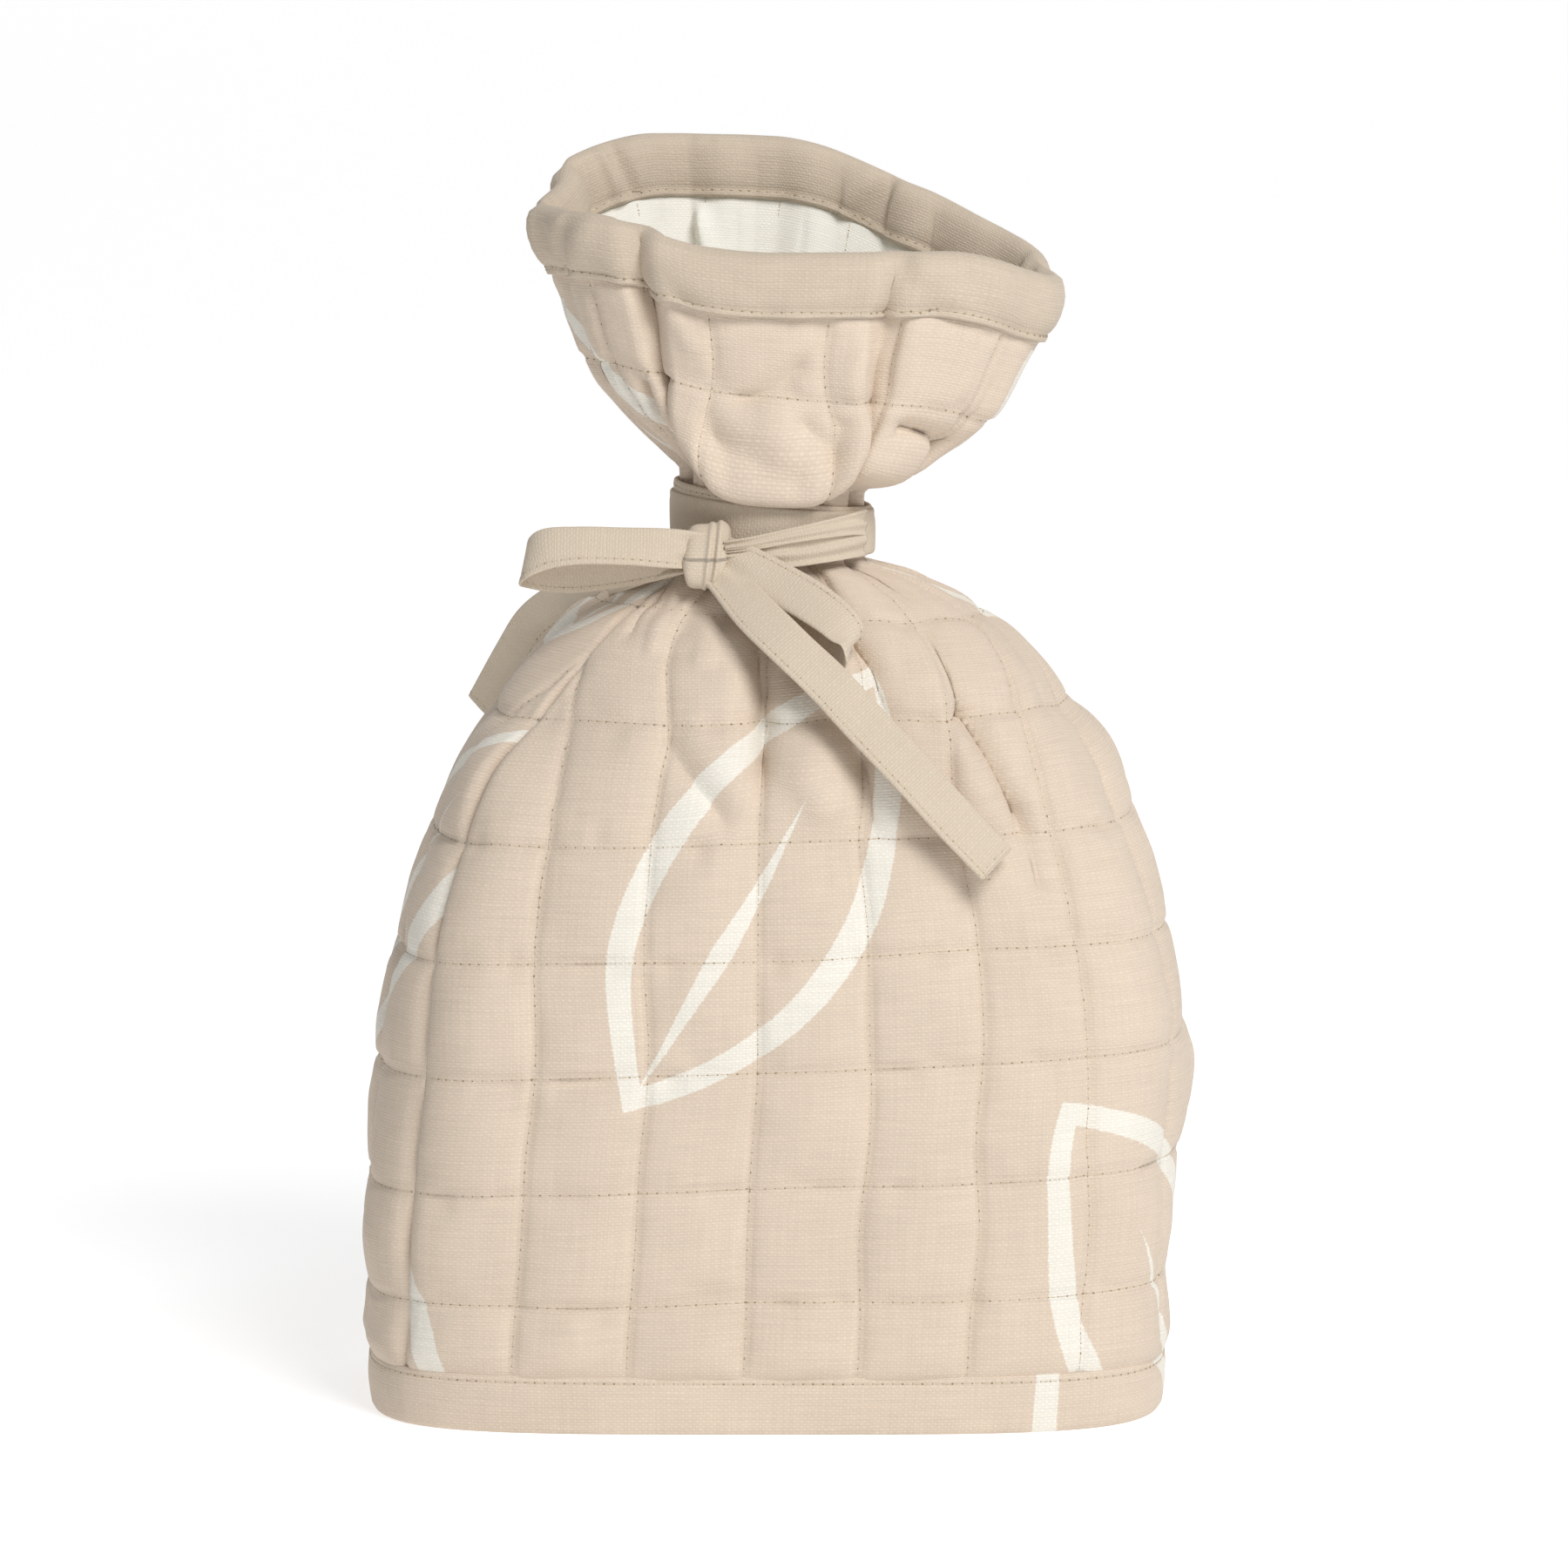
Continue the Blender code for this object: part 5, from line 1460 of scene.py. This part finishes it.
upper_route = turn_route(neck_radius + UPPER_OUT, UPPER_TURN, 0.0)
lower_route = turn_route(neck_radius + LOWER_OUT, LOWER_TURN, LOWER_TILT)
tie_pieces = [
    tape_piece("upper_turn", upper_route, 51, closed=True),
    tape_piece("lower_turn", lower_route, 52, closed=True),
    tape_piece("left_loop", LEFT_LOOP, 53, pinch=(1.5, 1.5)),
    tape_piece("right_loop", RIGHT_LOOP, 54, pinch=(1.5, 1.5)),
    tape_piece("right_tail", RIGHT_TAIL, 55, seam_side=-1.0),
    tape_piece("left_tail", LEFT_TAIL, 56),
    tape_piece("lower_end", LOWER_END, 57, pinch=(0.0, 1.2), folds=1.2),
    tape_piece("upper_end", UPPER_END, 58, pinch=(0.0, 0.8), folds=0.9),
]
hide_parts("tie")


KNOT_CENTRE = np.array([-17.4, -31.0, 228.0])
KNOT_WIDE, KNOT_DEEP, KNOT_TALL = 6.0, 5.4, 8.2      # half sizes
KNOT_CORE_DEEP, KNOT_CORE_TALL = 0.35, 0.45         # share of them inside the round edges
KNOT_ROWS, KNOT_COLUMNS, KNOT_STEP = 56, 41, 0.85


def knot_wrap():
    """The band of tape that is pulled tight around the knot.  It lies flat on the left
    and is creased into two narrow upright folds on the right."""
    across = np.linspace(-1.0, 1.0, KNOT_COLUMNS)
    folds = hump(across - 0.12, (1.1, 0.12)) + hump(across - 0.52, (1.3, 0.13))
    folds -= hump(across - 0.32, (0.5, 0.07))
    bulge = (1.0 - np.abs(across) ** 5) ** 0.5
    core_deep, core_tall = KNOT_CORE_DEEP * KNOT_DEEP, KNOT_CORE_TALL * KNOT_TALL
    round_deep = (1.0 - KNOT_CORE_DEEP) * KNOT_DEEP + folds
    round_tall = (1.0 - KNOT_CORE_TALL) * KNOT_TALL + 0.4 * folds
    rings, uv_rings = [], []
    for step in range(KNOT_ROWS):
        angle = 2.0 * math.pi * step / KNOT_ROWS
        forward, up = math.cos(angle), math.sin(angle)
        narrow = 1.0 - 0.22 * max(-up, 0.0) ** 2
        top_right = 1.3 * np.clip(across, 0.0, 1.0) * max(up, 0.0) ** 2
        moved = np.stack([
            across * KNOT_WIDE * narrow + 0.9 * up,
            core_tall * up - forward * (core_deep + round_deep * bulge),
            up * (core_tall + (round_tall + top_right) * bulge),
        ], axis=1)
        rings.append(KNOT_CENTRE + moved)
        along = np.full_like(across, step * KNOT_STEP)
        uv_rings.append(np.stack([across * KNOT_WIDE, along], axis=1))
    faces = [tuple(face) for face in grid_faces(KNOT_ROWS, KNOT_COLUMNS, wrap_rows=True)]
    left_edge = [row * KNOT_COLUMNS for row in range(KNOT_ROWS)]
    faces.append(tuple(left_edge))
    faces.append(tuple(first + KNOT_COLUMNS - 1 for first in reversed(left_edge)))
    places = np.vstack(uv_rings)
    uv = np.vstack([places[list(face)] for face in faces])
    thing = cloth_object("knot", np.vstack(rings), faces, uv, [tape_canvas])
    face_outwards(thing)
    return thing


tie_pieces.append(knot_wrap())
for piece in tie_pieces:
    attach(piece, "root")

END_SEAM, END_POINTS = 1.6, 12      # from a tail's end, and points across it


def tape_seam(route, closed=False, seam_side=1.0, hemmed=False):
    """The stitched lines beside one edge of a tape, on both of its faces.  A hemmed tape
    is stitched across its end too."""
    curve = smooth_route(route, closed=closed)
    places, side, out = tape_frames(curve, closed)
    lines = []
    for face in (1.0, -1.0):
        inset = -side * (curve[:, 6:7] * TAPE_SEAM * seam_side)
        lines.append((places + inset + out * face * 0.5 * TAPE, out * face))
        if hemmed:
            ahead = np.cross(out[-1], side[-1])
            across = np.linspace(-TAPE_SEAM, TAPE_SEAM, END_POINTS)[:, None]
            near_end = places[-1] - END_SEAM * ahead + out[-1] * face * 0.5 * TAPE
            outs = np.tile(out[-1] * face, (END_POINTS, 1))
            lines.append((near_end + side[-1] * across, outs))
    return lines


upper_turn, _, left_loop, right_loop, right_tail, left_tail = tie_pieces[:6]
for seed, (piece, route, closed, seam_side, hemmed) in enumerate((
    (upper_turn, upper_route, True, 1.0, False),
    (left_loop, LEFT_LOOP, False, 1.0, False),
    (right_loop, RIGHT_LOOP, False, 1.0, False),
    (right_tail, RIGHT_TAIL, False, -1.0, True),
    (left_tail, LEFT_TAIL, False, 1.0, True),
), start=70):
    seam = on_cloth(tape_seam(route, closed, seam_side, hemmed), piece)
    sew(
        piece.name + "_stitches", seam, seed, pitch=2.3, thread=0.36, hole=0.28
    )

# Flat size of a panel: 10 squares wide, and as long as the cloth from hem to rim.  Its
# area is less than a rectangle's, because the seams cut it narrower towards the neck.
sheet_levels = cloth_levels(0, CLOTH_TOP, 2.0)
panel_widths = [2 * ring_at(level).half * SQUARE * MM for level in sheet_levels]
